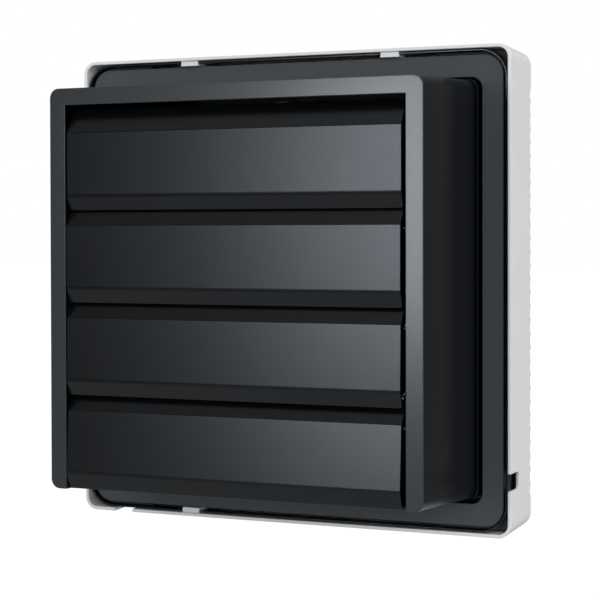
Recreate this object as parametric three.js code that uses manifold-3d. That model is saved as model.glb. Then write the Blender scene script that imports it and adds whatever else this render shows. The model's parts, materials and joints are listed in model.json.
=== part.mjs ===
// Window exhaust fan with a louvred outdoor duct and a slatted room-side panel.
// Millimetres, +Z up. +Y points outdoors.
// The origin is the centre of the mounting flange's outdoor face.
import * as THREE from 'three';
import { mergeVertices } from 'three/addons/utils/BufferGeometryUtils.js';
import Module from 'manifold-3d';

// --- Louvre box, the duct that passes through the wall -------------------------------------------
const boxSize = 250; // outer width and height at the outdoor edge
const boxDepth = 84.5; // outdoor edge to the flange's outdoor face
const boxDraft = 2.65; // how much wider each side is at the flange face than at the outdoor edge
const boxWall = 2.5;
const boxCorner = 6;
const boxRise = 0.85; // the box's middle above the flange's middle
const sideBar = 11; // width of the outdoor frame's side bars
const topBar = 10.5;
const barDepth = 3;
const sillSetback = 6.5; // how far the floor of the box stops short of the outdoor edge
const earRadius = 4; // screw ears at the foot of the box
const earLength = 13;
const earSpread = 60; // ears above and below the middle
const pivotBossRadius = 4;
const pivotBossLength = 5;

// --- Louvre flaps --------------------------------------------------------------------------------
const flapCount = 4;
const flapPlay = 3.6; // sideways room of a flap between the bars
const flapFloats = [0.9, 1.5, 1.5, 1.5]; // where each flap has come to rest in that room, top to bottom
const flapRecess = 0.6; // flap face behind the outdoor edge
const flapWall = 1.8;
const flapTopGap = 17.3; // top bar down to the first flap's face
const tailShow = 9.4; // part of a flap's tail left bare below the flap above
const tailHeight = 15;
const tailDepth = 8.4;
const bandHeight = 3.5; // rounded turn between a flap's face and its lip
const lipHeight = 7.3;
const lipAngle = THREE.MathUtils.degToRad(20.5);
const lipCorner = 2;
const sillGap = 1.2; // last lip above the bottom of the box
const cheekDepth = 9.5;
const cheekThickness = 2;
const pivotInset = 4.6; // pivot behind the flap's face
const pivotDrop = 2.2; // pivot below the top of the face
const pinRadius = 1.5;
const pinBossRadius = 3;
const pinClearance = 0.1; // running clearance of a pin in its bore
const pinEndClearance = 0.4;

// --- Housing with the mounting flange ------------------------------------------------------------
const flangeWidth = 13.55; // flange beyond its hole
const flangeThickness = 3;
const flangeCorner = 12;
const flangeGap = 2.8; // channel between the flange's hole and the louvre box
const flangeHoleCorner = 7;
const housingDepth = 25.5; // flange face to the housing's open room side
const skirtInset = 2; // skirt inside the flange's edge
const skirtWall = 2.5;
const cornerPlateGap = 0.9; // corner plates clear of the front panel's wall
const cornerPlateSpan = 40;
const cornerPlateDepth = 8; // flange face to the back of the corner plates
const cornerPlateThickness = 2;
const cornerRibInset = 0.8;
const cornerRibWidth = 1.2;
const cornerRibHeight = 3.4;
const cornerRibCorner = 15;
const postRadius = 4;
const postSpread = 90; // screw posts left and right of the middle

// --- Orifice plate -------------------------------------------------------------------------------
const plateThickness = 2.5;
const orificeInset = 17.5; // sleeve clear of the louvre box's wall
const orificeWall = 2;
const orificeDepth = 24;
const orificeLip = 3; // bell-mouth flare
const bracketBossRadius = 5.5;
const bracketBossGap = 2.5; // bracket bosses clear of the sleeve
const bracketHeight = 33.5; // bosses above the plate

// --- Front panel ---------------------------------------------------------------------------------
const panelGap = 3.8; // panel's rim clear of the flange's edge
const panelDraft = 2; // how much smaller each side is at the front
const panelSpace = 9.8; // orifice plate to the panel's backing
const panelStandoff = 3.3; // rear rim beyond the flange face
const panelWall = 2.2;
const panelCorner = 8.5;
const panelEdgeRound = 3;
const slatMargin = 17; // least height left bare above and below the slats
const slatPitch = 8.53;
const slatHeight = 2.6;
const slatDepth = 3.7;
const slatDrop = 1.9; // middle of the slats below the panel's middle
const backingThickness = 2;
const windowMargin = 28; // panel's edge to the windows behind the slats
const windowColumns = 5;
const stiffenerWidth = 5;
const hookSpread = 70.5;
const hookWidth = 12.4;
const hookLength = 12;
const hookGap = 0.35; // hooks clear of the flange's edge
const notchWidth = 10.5; // side notch, where a supply cable comes in
const notchDepth = 18.2;
const lowerNotchWidth = 13;
const lowerNotchInset = 29.2; // from the panel's side to the notch's middle

// --- Impeller and motor --------------------------------------------------------------------------
const bladeCount = 5;
const bladeClearance = 4.5; // blade tips to the orifice
const bladeThickness = 1.8;
const bladeRootChord = 44;
const bladeTipChord = 78;
const bladeRootPitch = THREE.MathUtils.degToRad(32);
const bladeTipPitch = THREE.MathUtils.degToRad(17);
const bladeSweep = 0.28; // how far the tip leads the root, in radians
const bladeCamber = 0.07; // rise of a blade's curve over its chord
const bladeEdge = 1.1; // thickness of a blade's edges
const hubRadius = 28;
const hubLength = 23;
const hubWall = 2.2;
const hubSetback = 1.5; // hub front behind the plate's room face
const shaftRadius = 4;
const shaftFit = 0.04; // between the shaft and what is fixed on it
const bearingFit = 0.1; // radial running clearance at the bearings
const bearingRadius = 9;
const bearingLength = 7;
const motorRadius = 38;
const motorWall = 1.5;
const motorLength = 31;
const bellDepth = 7;
const bellSpigot = 15; // radius of the bearing housing on each bell
const seatGap = 0.1; // between a bearing and its seat
const statorBore = 22.5;
const airGap = 0.8;
const coreInset = 3.5; // core short of the can's ends
const bracketThickness = 2.5;
const bracketMargin = 5; // bracket's ring beyond the motor
const bracketArmWidth = 15;
const motorScrewInset = 7; // from the can's outside to the motor screws
const motorPostRadius = 3.2;
const nutRadius = 9;
const nutLength = 8;
const nutCap = 2;

// --- Electrical parts ----------------------------------------------------------------------------
const terminalWidth = 36;
const terminalHeight = 37.5;
const terminalDepth = 38;
const terminalWall = 2;
const terminalGap = 3.75; // terminal box clear of the louvre box's side wall
const terminalFloorGap = 1.4; // and of its floor
const terminalPostInset = 4.5;
const terminalPostRadius = 4;
const blockWidth = 20;
const blockHeight = 13;
const blockDepth = 14;
const blockPoles = 3;
const poleRadius = 2.2;
const cableRadius = 4;
const cableInset = 6.6; // cable above the terminal box's bottom
const grommetWall = 1.6;
const grommetFlange = 1.5;
const grommetClearance = 0.5; // round the grommet's rim and the cable
const coverThickness = 2;
const coverOverlap = 3;
const capacitorWidth = 36;
const capacitorHeight = 24;
const capacitorDepth = 17;
const capacitorGap = 5.4; // capacitor clear of the louvre box's side wall
const capacitorFloorGap = 7.5; // its tab clear of the floor
const capacitorTab = 9;
const tabThickness = 1.6;
const leadRadius = 2.4;
const leadRoom = 0.6; // round the lead where it enters the terminal box
const leadStub = 12; // straight part of the lead at the motor
const leadBend = 14; // start of the lead's bend short of the terminal box

// --- Fasteners -----------------------------------------------------------------------------------
const screwRadius = 1.6;
const screwHeadRadius = 3.4;
const screwHeadHeight = 2.1;
const screwFit = 0.1;
const screwLength = 14;
const recessWidth = 0.9;
const recessLength = 4.2;
const recessDepth = 1.1;

// --- Facets --------------------------------------------------------------------------------------
const cornerSteps = 3;
const mouthSteps = 3;
const orificeSteps = 48;
const roundSteps = 32;
const shaftSteps = 20;
const leadSteps = 14;
const leadSides = 4;
const pinSteps = 12;
const screwSteps = 10;
const bandSteps = 3;
const bladeSteps = 4;

// --- Derived sizes -------------------------------------------------------------------------------
const overcut = 1; // how far a cutting tool runs past the wall it cuts
const boxHalf = boxSize / 2;
const boxHalfAt = (y) => boxHalf + (boxDraft * (boxDepth - y)) / boxDepth;
const openingHalf = boxHalf - sideBar;
const openingTop = boxRise + boxHalf - topBar;
const flapPitch = (boxSize - topBar - flapTopGap + tailShow - sillGap) / flapCount;
const flapHeight = flapPitch - tailShow;
const faceHeight = flapHeight - bandHeight - lipHeight;
const flapWidth = 2 * openingHalf - flapPlay;
const flapFace = boxDepth - flapRecess;
const boreBottom = boxHalf - boxWall;
const pivotBossFace = boreBottom - pivotBossLength;
const pinTip = boreBottom - Math.max(...flapFloats) - pinEndClearance;
const pivotY = flapFace - pivotInset;
const flapTop = (index) => openingTop - flapTopGap - index * flapPitch;

const plateBack = -housingDepth; // outdoor face of the orifice plate
const plateFront = plateBack - plateThickness;
const plateSpan = [plateFront, plateBack];
const flangeHoleSize = 2 * (boxHalf + boxDraft + flangeGap);
const flangeSize = flangeHoleSize + 2 * flangeWidth;
const skirtHalf = flangeSize / 2 - skirtInset;
const channelMiddle = (boxHalf + boxDraft + skirtHalf - skirtWall) / 2;
const orificeRadius = boreBottom - orificeInset - orificeWall;
const bracketBossReach = orificeRadius + orificeWall + bracketBossGap + bracketBossRadius;
const bracketFace = plateBack + bracketHeight;

const panelSize = flangeSize + 2 * (panelGap + panelWall);
const panelRim = panelStandoff;
const panelInside = plateFront - panelSpace;
const panelFront = panelInside - backingThickness - slatDepth;
const panelHalfAt = (y) => panelSize / 2 - (panelDraft * (panelRim - y)) / (panelRim - panelFront);
const slatCount = Math.floor((panelSize - 2 * slatMargin) / slatPitch);
const windowSize = panelSize - 2 * windowMargin;
const lowerNotchReach = panelSize / 2 - lowerNotchInset;

const hubFront = plateFront + hubSetback;
const motorFront = bracketFace + bracketThickness;
const bodyStart = motorFront + bellDepth;
const bodyEnd = bodyStart + motorLength;
const motorEnd = bodyEnd + bellDepth;
const coreSpan = [bodyStart + coreInset, bodyEnd - coreInset];
const motorScrewReach = motorRadius - motorScrewInset;

const terminalEnd = plateBack + terminalDepth;
const terminalLeft = terminalGap + boxWall - boxHalfAt(terminalEnd);
const terminalRight = terminalLeft + terminalWidth;
const terminalBottom = boxRise + terminalFloorGap + boxWall - boxHalfAt(terminalEnd);
const terminalTop = terminalBottom + terminalHeight;
const coverScrewPlace = [terminalRight - terminalPostInset, terminalTop - terminalPostInset];
const leadEntry = {
  x: terminalLeft + terminalWall + 3 * leadRadius,
  z: terminalTop - terminalWall - 3 * leadRadius,
};
const cableY = panelRim - notchDepth + cableRadius + grommetClearance;
const cableZ = terminalBottom + cableInset;
const grommetRadius = cableRadius + grommetWall;

const capacitorEnd = plateBack + capacitorDepth;
const capacitorRight = boxHalfAt(capacitorEnd) - boxWall - capacitorGap;
const capacitorLeft = capacitorRight - capacitorWidth;
const tabBottom = boxRise + capacitorFloorGap + boxWall - boxHalfAt(capacitorEnd);
const capacitorBottom = tabBottom + capacitorTab;
const capacitorScrewPlace = [capacitorRight - capacitorWidth / 2, capacitorBottom - capacitorTab / 2];

// --- Solid modelling helpers ---------------------------------------------------------------------
const wasm = await Module();
wasm.setup();

function facesOf(geometry) {
  const bare = new THREE.BufferGeometry();
  bare.setAttribute('position', geometry.getAttribute('position'));
  if (geometry.index) {
    bare.setIndex(geometry.index);
  }
  const merged = mergeVertices(bare, 1e-4);
  const corners = merged.index.array;
  const kept = [];
  for (let i = 0; i < corners.length; i += 3) {
    const [a, b, c] = [corners[i], corners[i + 1], corners[i + 2]];
    if (a !== b && b !== c && c !== a) {
      kept.push(a, b, c);
    }
  }
  return { points: merged.getAttribute('position').array, corners: kept };
}

function signedVolume(points, corners) {
  const at = (i) => new THREE.Vector3().fromArray(points, 3 * i);
  let volume = 0;
  for (let i = 0; i < corners.length; i += 3) {
    volume += at(corners[i]).dot(at(corners[i + 1]).cross(at(corners[i + 2]))) / 6;
  }
  return volume;
}

// A closed geometry as a solid with its faces pointing out.
function solid(geometry) {
  const { points, corners } = facesOf(geometry);
  if (signedVolume(points, corners) < 0) {
    for (let i = 0; i < corners.length; i += 3) {
      [corners[i], corners[i + 1]] = [corners[i + 1], corners[i]];
    }
  }
  const mesh = new wasm.Mesh({
    numProp: 3,
    vertProperties: new Float32Array(points),
    triVerts: new Uint32Array(corners),
  });
  return new wasm.Manifold(mesh);
}

function geometryOf(body) {
  const mesh = body.getMesh();
  const geometry = new THREE.BufferGeometry();
  geometry.setAttribute('position', new THREE.BufferAttribute(new Float32Array(mesh.vertProperties), 3));
  geometry.setIndex(new THREE.BufferAttribute(new Uint32Array(mesh.triVerts), 1));
  geometry.computeVertexNormals();
  return geometry;
}

const join = (...bodies) => bodies.reduce((whole, body) => whole.add(body));
const cut = (body, ...tools) => tools.reduce((rest, tool) => rest.subtract(tool), body);

// A span made longer at both ends, for a tool that cuts right through it.
const through = ([from, to]) => [from - overcut, to + overcut];

// A span of x measured outwards from the middle, on one side of it.
const outwards = (side, from, to) => (side < 0 ? [-to, -from] : [from, to]);

function box([x0, x1], [y0, y1], [z0, z1]) {
  const geometry = new THREE.BoxGeometry(x1 - x0, y1 - y0, z1 - z0);
  return solid(geometry.translate((x0 + x1) / 2, (y0 + y1) / 2, (z0 + z1) / 2));
}

// A round bar along Y.
function rod(radius, [y0, y1], x = 0, z = 0, steps = roundSteps) {
  const geometry = new THREE.CylinderGeometry(radius, radius, y1 - y0, steps);
  return solid(geometry.translate(x, (y0 + y1) / 2, z));
}

// A round bar along X.
function crossRod(radius, [x0, x1], y, z, steps = pinSteps) {
  const geometry = new THREE.CylinderGeometry(radius, radius, x1 - x0, steps).rotateZ(Math.PI / 2);
  return solid(geometry.translate((x0 + x1) / 2, y, z));
}

// A closed [radius, y] profile turned about the fan's axis.
function turned(profile, steps = roundSteps) {
  const points = [...profile, profile[0]].map(([radius, y]) => new THREE.Vector2(radius, y));
  return solid(new THREE.LatheGeometry(points, steps));
}

// The corner points of a rounded rectangle about the middle.
function roundedRectangle(width, height, radius) {
  const points = [];
  for (let corner = 0; corner < 4; corner++) {
    const sx = corner === 0 || corner === 3 ? 1 : -1;
    const sz = corner < 2 ? 1 : -1;
    for (let step = 0; step <= cornerSteps; step++) {
      const angle = ((corner + step / cornerSteps) * Math.PI) / 2;
      const x = sx * (width / 2 - radius) + radius * Math.cos(angle);
      const z = sz * (height / 2 - radius) + radius * Math.sin(angle);
      points.push(new THREE.Vector2(x, z));
    }
  }
  return points;
}

const extruded = (outline, depth) =>
  new THREE.ExtrudeGeometry(new THREE.Shape(outline), { depth, bevelEnabled: false });

// An x, z outline made solid between two values of y.
function prism(outline, [y0, y1], rise = 0) {
  const geometry = extruded(outline, y1 - y0);
  return solid(geometry.rotateX(Math.PI / 2).translate(0, y1, rise));
}

// A y, z outline made solid between two values of x.
function crossPrism(outline, [x0, x1]) {
  const geometry = extruded(outline, x1 - x0);
  const turn = new THREE.Matrix4().makeBasis(
    new THREE.Vector3(0, 1, 0),
    new THREE.Vector3(0, 0, 1),
    new THREE.Vector3(1, 0, 0),
  );
  return solid(geometry.applyMatrix4(turn).translate(x0, 0, 0));
}

// A solid through rings of points that match one to one, closed at both ends.
function loft(rings) {
  const count = rings[0].length;
  const positions = rings.flat().flatMap((point) => [point.x, point.y, point.z]);
  const index = [];
  for (let ring = 0; ring + 1 < rings.length; ring++) {
    for (let i = 0; i < count; i++) {
      const next = (i + 1) % count;
      const [a, b] = [ring * count + i, ring * count + next];
      index.push(a, b, a + count, b, b + count, a + count);
    }
  }
  const flat = endOutline(rings[0]);
  const caps = THREE.ShapeUtils.triangulateShape(flat, []);
  const last = (rings.length - 1) * count;
  for (const [a, b, c] of caps) {
    index.push(c, b, a, last + a, last + b, last + c);
  }
  const geometry = new THREE.BufferGeometry();
  geometry.setAttribute('position', new THREE.Float32BufferAttribute(positions, 3));
  geometry.setIndex(index);
  return solid(geometry);
}

// A ring's points in its own plane, in an order that keeps the side faces and the caps turned alike.
function endOutline(ring) {
  const origin = ring[0];
  const normal = new THREE.Vector3();
  for (let i = 1; i + 1 < ring.length; i++) {
    const a = ring[i].clone().sub(origin);
    normal.add(a.cross(ring[i + 1].clone().sub(origin)));
  }
  normal.normalize();
  const across = ring[1].clone().sub(origin).normalize();
  const up = normal.clone().cross(across);
  return ring.map((point) => {
    const offset = point.clone().sub(origin);
    return new THREE.Vector2(offset.dot(across), offset.dot(up));
  });
}

const ringAt = (outline, y, rise = 0) => outline.map((p) => new THREE.Vector3(p.x, y, p.y + rise));

// A line of points given a thickness to its left.
function thicken(points, wall) {
  const normals = points.slice(1).map((point, i) => {
    const along = point.clone().sub(points[i]).normalize();
    return new THREE.Vector2(-along.y, along.x);
  });
  const inner = points.map((point, i) => {
    const before = normals[Math.max(i - 1, 0)];
    const after = normals[Math.min(i, normals.length - 1)];
    const mitre = before.clone().add(after);
    return point.clone().add(mitre.multiplyScalar((2 * wall) / mitre.lengthSq()));
  });
  return [...points, ...inner.reverse()];
}

// A pan-head screw along Y with its head's underside at y. direction is -1 for a head on the room side.
function screw(x, z, y, length, direction = -1) {
  const span = (a, b) => (direction < 0 ? [y - b, y - a] : [y + a, y + b]);
  const head = rod(screwHeadRadius, span(0, screwHeadHeight), x, z, screwSteps);
  const shank = rod(screwRadius, span(-length, 0), x, z, screwSteps);
  const recess = span(screwHeadHeight - recessDepth, screwHeadHeight + overcut);
  const half = recessLength / 2;
  const across = box([x - half, x + half], recess, [z - recessWidth / 2, z + recessWidth / 2]);
  const down = box([x - recessWidth / 2, x + recessWidth / 2], recess, [z - half, z + half]);
  return cut(join(head, shank), across, down);
}

const screwHole = (x, z, [y0, y1]) => rod(screwRadius + screwFit, [y0, y1], x, z, screwSteps);

// --- Finishes ------------------------------------------------------------------------------------
const finish = (color, roughness, metalness = 0) =>
  new THREE.MeshStandardMaterial({ color, roughness, metalness });
const blackPlastic = finish(0x2c2e30, 0.42);
const whitePlastic = finish(0xe4e4e2, 0.4);
const steel = finish(0x9a9c9e, 0.35, 1);
const zinc = finish(0xb8bab8, 0.4, 1);
const bronze = finish(0x9a7440, 0.5, 1);
const laminations = finish(0x5a5c60, 0.55, 1);
const blackRubber = finish(0x1a1a1a, 0.8);
const creamPlastic = finish(0xd9d2bf, 0.5);
const paleWire = finish(0xbdbdb8, 0.55);

const fan = new THREE.Group();

function add(name, body, material) {
  const mesh = new THREE.Mesh(geometryOf(body), material);
  mesh.name = name;
  fan.add(mesh);
  return mesh;
}

// --- Louvre box ----------------------------------------------------------------------------------
const boxOutline = (y, inset) => {
  const size = 2 * (boxHalfAt(y) - inset);
  return ringAt(roundedRectangle(size, size, boxCorner - inset), y, boxRise);
};

const pivotHeights = Array.from({ length: flapCount }, (_, i) => flapTop(i) - pivotDrop);
const fourPlaces = (x, z) => [[-x, -z], [-x, z], [x, -z], [x, z]];
const earPlaces = fourPlaces(channelMiddle, earSpread);
const postPlaces = fourPlaces(postSpread, channelMiddle);
const bracketPlaces = [
  [bracketBossReach, 0],
  [0, bracketBossReach],
  [-bracketBossReach, 0],
  [0, -bracketBossReach],
];

function louvreBox() {
  const shell = loft([boxOutline(plateBack, 0), boxOutline(boxDepth, 0)]);
  const inside = loft([
    boxOutline(plateBack - overcut, boxWall),
    boxOutline(boxDepth - barDepth, boxWall),
  ]);
  const opening = box(
    [-openingHalf, openingHalf],
    [boxDepth - sillSetback, boxDepth + overcut],
    [boxRise - boxHalf - overcut, openingTop],
  );
  let body = cut(shell, inside, opening);
  const earSpan = [plateBack, plateBack + earLength];
  for (const [x, z] of earPlaces) {
    const ear = rod(earRadius, earSpan, x, z, pinSteps);
    const webSpan = outwards(x, boxHalf + boxDraft - boxWall / 2, Math.abs(x));
    const web = box(webSpan, earSpan, [z - earRadius / 2, z + earRadius / 2]);
    body = cut(join(body, ear, web), screwHole(x, z, through(earSpan)));
  }
  for (const z of pivotHeights) {
    for (const side of [-1, 1]) {
      const bossSpan = outwards(side, pivotBossFace, boreBottom + boxWall / 2);
      const boss = crossRod(pivotBossRadius, bossSpan, pivotY, z);
      const boreSpan = outwards(side, pivotBossFace - overcut, boreBottom);
      const bore = crossRod(pinRadius + pinClearance, boreSpan, pivotY, z);
      body = cut(join(body, boss), bore);
    }
  }
  const wallSpan = [-boxHalfAt(cableY), boxWall - boxHalf];
  return cut(body, crossRod(cableRadius + seatGap, through(wallSpan), cableY, cableZ));
}
add('louvre_box', louvreBox(), blackPlastic);

// --- Louvre flaps --------------------------------------------------------------------------------
function flapLine() {
  const turnRadius = bandHeight / Math.sin(lipAngle);
  const line = [
    new THREE.Vector2(-tailDepth, tailHeight),
    new THREE.Vector2(0, 0),
    new THREE.Vector2(0, -faceHeight),
  ];
  for (let i = 1; i <= bandSteps; i++) {
    const angle = (lipAngle * i) / bandSteps;
    const drop = faceHeight + turnRadius * Math.sin(angle);
    line.push(new THREE.Vector2(turnRadius * (Math.cos(angle) - 1), -drop));
  }
  const last = line[line.length - 1];
  line.push(new THREE.Vector2(last.x - lipHeight * Math.tan(lipAngle), -flapHeight));
  return line;
}

function cheekOutline() {
  const lipStart = -faceHeight - bandHeight;
  return [
    new THREE.Vector2(-flapWall / 2, -pivotDrop),
    new THREE.Vector2(-flapWall / 2, -faceHeight),
    new THREE.Vector2(-flapWall, lipStart),
    new THREE.Vector2(-cheekDepth, lipStart + flapWall),
    new THREE.Vector2(-cheekDepth, -2 * pivotDrop),
    new THREE.Vector2(-pivotInset, -pivotDrop),
  ];
}

// The flap's front view, which rounds the lower corners of its lip.
function flapFrontView(half) {
  const shape = new THREE.Shape();
  shape.moveTo(-half, tailHeight + overcut);
  shape.lineTo(-half, lipCorner - flapHeight);
  shape.absarc(lipCorner - half, lipCorner - flapHeight, lipCorner, Math.PI, 1.5 * Math.PI);
  shape.absarc(half - lipCorner, lipCorner - flapHeight, lipCorner, 1.5 * Math.PI, 2 * Math.PI);
  shape.lineTo(half, tailHeight + overcut);
  return shape.extractPoints(cornerSteps).shape;
}

function louvreFlap(index) {
  const half = flapWidth / 2;
  const shell = crossPrism(thicken(flapLine(), -flapWall), [-half, half]);
  let body = shell.intersect(prism(flapFrontView(half), [-2 * cheekDepth, overcut]));
  const cheekFace = half - flapWall / 2;
  for (const side of [-1, 1]) {
    const cheek = crossPrism(cheekOutline(), outwards(side, cheekFace - cheekThickness, cheekFace));
    const bossSpan = outwards(side, half - 2 * cheekThickness, cheekFace);
    const boss = crossRod(pinBossRadius, bossSpan, -pivotInset, -pivotDrop);
    const pinSpan = outwards(side, half - 2 * cheekThickness, pinTip);
    const pin = crossRod(pinRadius, pinSpan, -pivotInset, -pivotDrop);
    body = join(body, cheek, boss, pin);
  }
  const flap = add(`louvre_flap_${index + 1}`, body, blackPlastic);
  flap.position.set(flapFloats[index], flapFace, flapTop(index));
}
for (let i = 0; i < flapCount; i++) {
  louvreFlap(i);
}

// --- Housing -------------------------------------------------------------------------------------
const square = (size, corner, span) => prism(roundedRectangle(size, size, corner), span);

function housing() {
  const skirtSize = 2 * skirtHalf;
  const skirtCorner = flangeCorner - skirtInset;
  const flangeSpan = [-flangeThickness, 0];
  const flange = square(flangeSize, flangeCorner, flangeSpan);
  const hole = square(flangeHoleSize, flangeHoleCorner, through(flangeSpan));
  const skirt = cut(
    square(skirtSize, skirtCorner, [plateBack, -flangeThickness / 2]),
    square(skirtSize - 2 * skirtWall, skirtCorner - skirtWall, [plateBack - overcut, -flangeThickness]),
  );
  let body = cut(join(flange, skirt, cornerPlates()), hole);
  for (const [x, z] of postPlaces) {
    const post = rod(postRadius, [plateBack, -flangeThickness / 2], x, z, pinSteps);
    body = cut(join(body, post), screwHole(x, z, [plateBack - overcut, plateBack + screwLength]));
  }
  const wallSpan = [-skirtHalf, skirtWall - skirtHalf];
  return cut(body, crossRod(grommetRadius + seatGap, through(wallSpan), cableY, cableZ));
}

// Plates that fill the front panel's corners, each with a raised rib that follows the flange's corner.
// One of them is open round the cable grommet.
function cornerPlates() {
  const reach = 2 * (panelHalfAt(-cornerPlateDepth) - panelWall - cornerPlateGap);
  const plate = [-cornerPlateDepth, cornerPlateThickness - cornerPlateDepth];
  const rib = [-cornerPlateDepth, plate[1] + cornerRibHeight];
  const ribOuter = reach - 2 * cornerRibInset;
  const ribInner = ribOuter - 2 * cornerRibWidth;
  const ring = cut(
    join(square(reach, flangeCorner / 2, plate), square(ribOuter, cornerRibCorner, rib)),
    square(ribInner, cornerRibCorner - cornerRibWidth, [plate[1], rib[1] + overcut]),
    square(2 * skirtHalf - skirtWall, flangeCorner - skirtInset - skirtWall / 2, through(rib)),
  );
  const clear = skirtHalf - cornerPlateSpan;
  const upright = box([-clear, clear], through(rib), [-reach, reach]);
  const level = box([-reach, reach], through(rib), [-clear, clear]);
  const room = grommetRadius + grommetFlange + grommetClearance;
  const grommetPocket = box([-reach, -skirtHalf], through(rib), [cableZ - room, cableZ + room]);
  return cut(ring, upright, level, grommetPocket);
}
add('housing', housing(), blackPlastic);

// --- Orifice plate -------------------------------------------------------------------------------
function orificePlate() {
  const plate = square(2 * skirtHalf, flangeCorner - skirtInset, plateSpan);
  const sleeveSpan = [plateFront, plateFront + orificeDepth];
  const sleeve = rod(orificeRadius + orificeWall, sleeveSpan, 0, 0, orificeSteps);
  const bossSpan = [plateBack - plateThickness / 2, bracketFace];
  const bosses = bracketPlaces.map(([x, z]) => rod(bracketBossRadius, bossSpan, x, z, pinSteps));
  const terminalWindow = box(
    [terminalLeft + terminalWall, terminalRight - terminalWall],
    through(plateSpan),
    [terminalBottom + terminalWall, terminalTop - terminalWall],
  );
  const coverPost = rod(terminalPostRadius, plateSpan, ...coverScrewPlace, pinSteps);
  const throughPlaces = [...earPlaces, ...postPlaces, coverScrewPlace, capacitorScrewPlace];
  return cut(
    join(cut(join(plate, sleeve, ...bosses), bellMouth(), terminalWindow), coverPost),
    ...throughPlaces.map(([x, z]) => screwHole(x, z, through(plateSpan))),
    ...bracketPlaces.map(([x, z]) => screwHole(x, z, [bracketFace - screwLength, bracketFace + overcut])),
  );
}

// The air's way through the orifice, flared at the room side.
function bellMouth() {
  const [front, back] = through([plateFront, plateFront + orificeDepth]);
  const flare = Array.from({ length: mouthSteps + 1 }, (_, i) => {
    const angle = (i * Math.PI) / 2 / mouthSteps;
    return [
      orificeRadius + orificeLip * (1 - Math.sin(angle)),
      plateFront + orificeLip * (1 - Math.cos(angle)),
    ];
  });
  return turned(
    [[0, front], [orificeRadius + orificeLip, front], ...flare, [orificeRadius, back], [0, back]],
    orificeSteps,
  );
}
add('orifice_plate', orificePlate(), blackPlastic);

// --- Front panel ---------------------------------------------------------------------------------
function panelRing(y, inset) {
  const size = 2 * (panelHalfAt(y) - inset);
  return ringAt(roundedRectangle(size, size, panelCorner - inset), y);
}

// The grooves between the slats, which run out at both sides of the panel.
function panelGrooves() {
  const half = (slatPitch - slatHeight) / 2;
  return Array.from({ length: slatCount - 1 }, (_, i) => {
    const middle = (i + 1 - slatCount / 2) * slatPitch - slatDrop;
    return box(
      [-panelSize, panelSize],
      [panelFront - overcut, panelFront + slatDepth],
      [middle - half, middle + half],
    );
  });
}

function panelWindows() {
  const column = (windowSize - (windowColumns - 1) * stiffenerWidth) / windowColumns;
  const depth = [panelFront + slatDepth, panelInside + overcut];
  return Array.from({ length: windowColumns }, (_, i) => {
    const left = -windowSize / 2 + i * (column + stiffenerWidth);
    return box([left, left + column], depth, [-windowSize / 2, windowSize / 2]);
  });
}

function panelHook(x, side) {
  const outer = panelSize / 2 - panelWall / 2;
  const inner = flangeSize / 2 + hookGap;
  const tip = panelRim - panelWall / 2;
  const [low, high] = side > 0 ? [inner, outer] : [-outer, -inner];
  return box([x - hookWidth / 2, x + hookWidth / 2], [tip - hookLength, tip], [low, high]);
}

function frontPanel() {
  const shell = loft([
    panelRing(panelRim, 0),
    panelRing(panelFront + panelEdgeRound, 0),
    panelRing(panelFront + panelEdgeRound / 3, panelEdgeRound / 3),
    panelRing(panelFront, panelEdgeRound),
  ]);
  const inside = loft([panelRing(panelRim + overcut, panelWall), panelRing(panelInside, panelWall)]);
  const hooks = [panelHook(hookSpread, 1), panelHook(-hookSpread, 1), panelHook(hookSpread, -1)];
  const notchSpan = [panelRim - notchDepth, panelRim + overcut];
  const wallSpan = [-panelSize, -panelSize / 2 + 2 * panelWall];
  const sideNotch = box(wallSpan, notchSpan, [cableZ - notchWidth / 2, cableZ + notchWidth / 2]);
  const lowerNotch = box(
    [lowerNotchReach - lowerNotchWidth / 2, lowerNotchReach + lowerNotchWidth / 2],
    notchSpan,
    wallSpan,
  );
  const body = cut(shell, inside, ...panelGrooves(), ...panelWindows());
  return cut(join(body, ...hooks), sideNotch, lowerNotch);
}
add('front_panel', frontPanel(), whitePlastic);

// --- Impeller ------------------------------------------------------------------------------------
// One blade's section at a share of the way from root to tip, wrapped round the axis.
function bladeRing(share, start) {
  const radius = THREE.MathUtils.lerp(hubRadius - hubWall / 2, orificeRadius - bladeClearance, share);
  const chord = THREE.MathUtils.lerp(bladeRootChord, bladeTipChord, Math.sqrt(share));
  const pitch = THREE.MathUtils.lerp(bladeRootPitch, bladeTipPitch, share);
  const middle = hubFront + hubLength / 2;
  const section = [];
  const stations = [-0.5, -0.3, 0, 0.3, 0.5];
  const camber = (s) => bladeCamber * chord * (1 - 4 * s * s);
  const halfThickness = (s) => (Math.abs(s) === 0.5 ? bladeEdge : bladeThickness) / 2;
  for (const s of stations) {
    section.push([s * chord, camber(s) + halfThickness(s)]);
  }
  for (const s of stations.toReversed()) {
    section.push([s * chord, camber(s) - halfThickness(s)]);
  }
  return section.map(([along, across]) => {
    const around = along * Math.cos(pitch) - across * Math.sin(pitch);
    const axial = along * Math.sin(pitch) + across * Math.cos(pitch);
    const angle = start + around / radius + bladeSweep * share;
    return new THREE.Vector3(radius * Math.cos(angle), middle + axial, radius * Math.sin(angle));
  });
}

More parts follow.
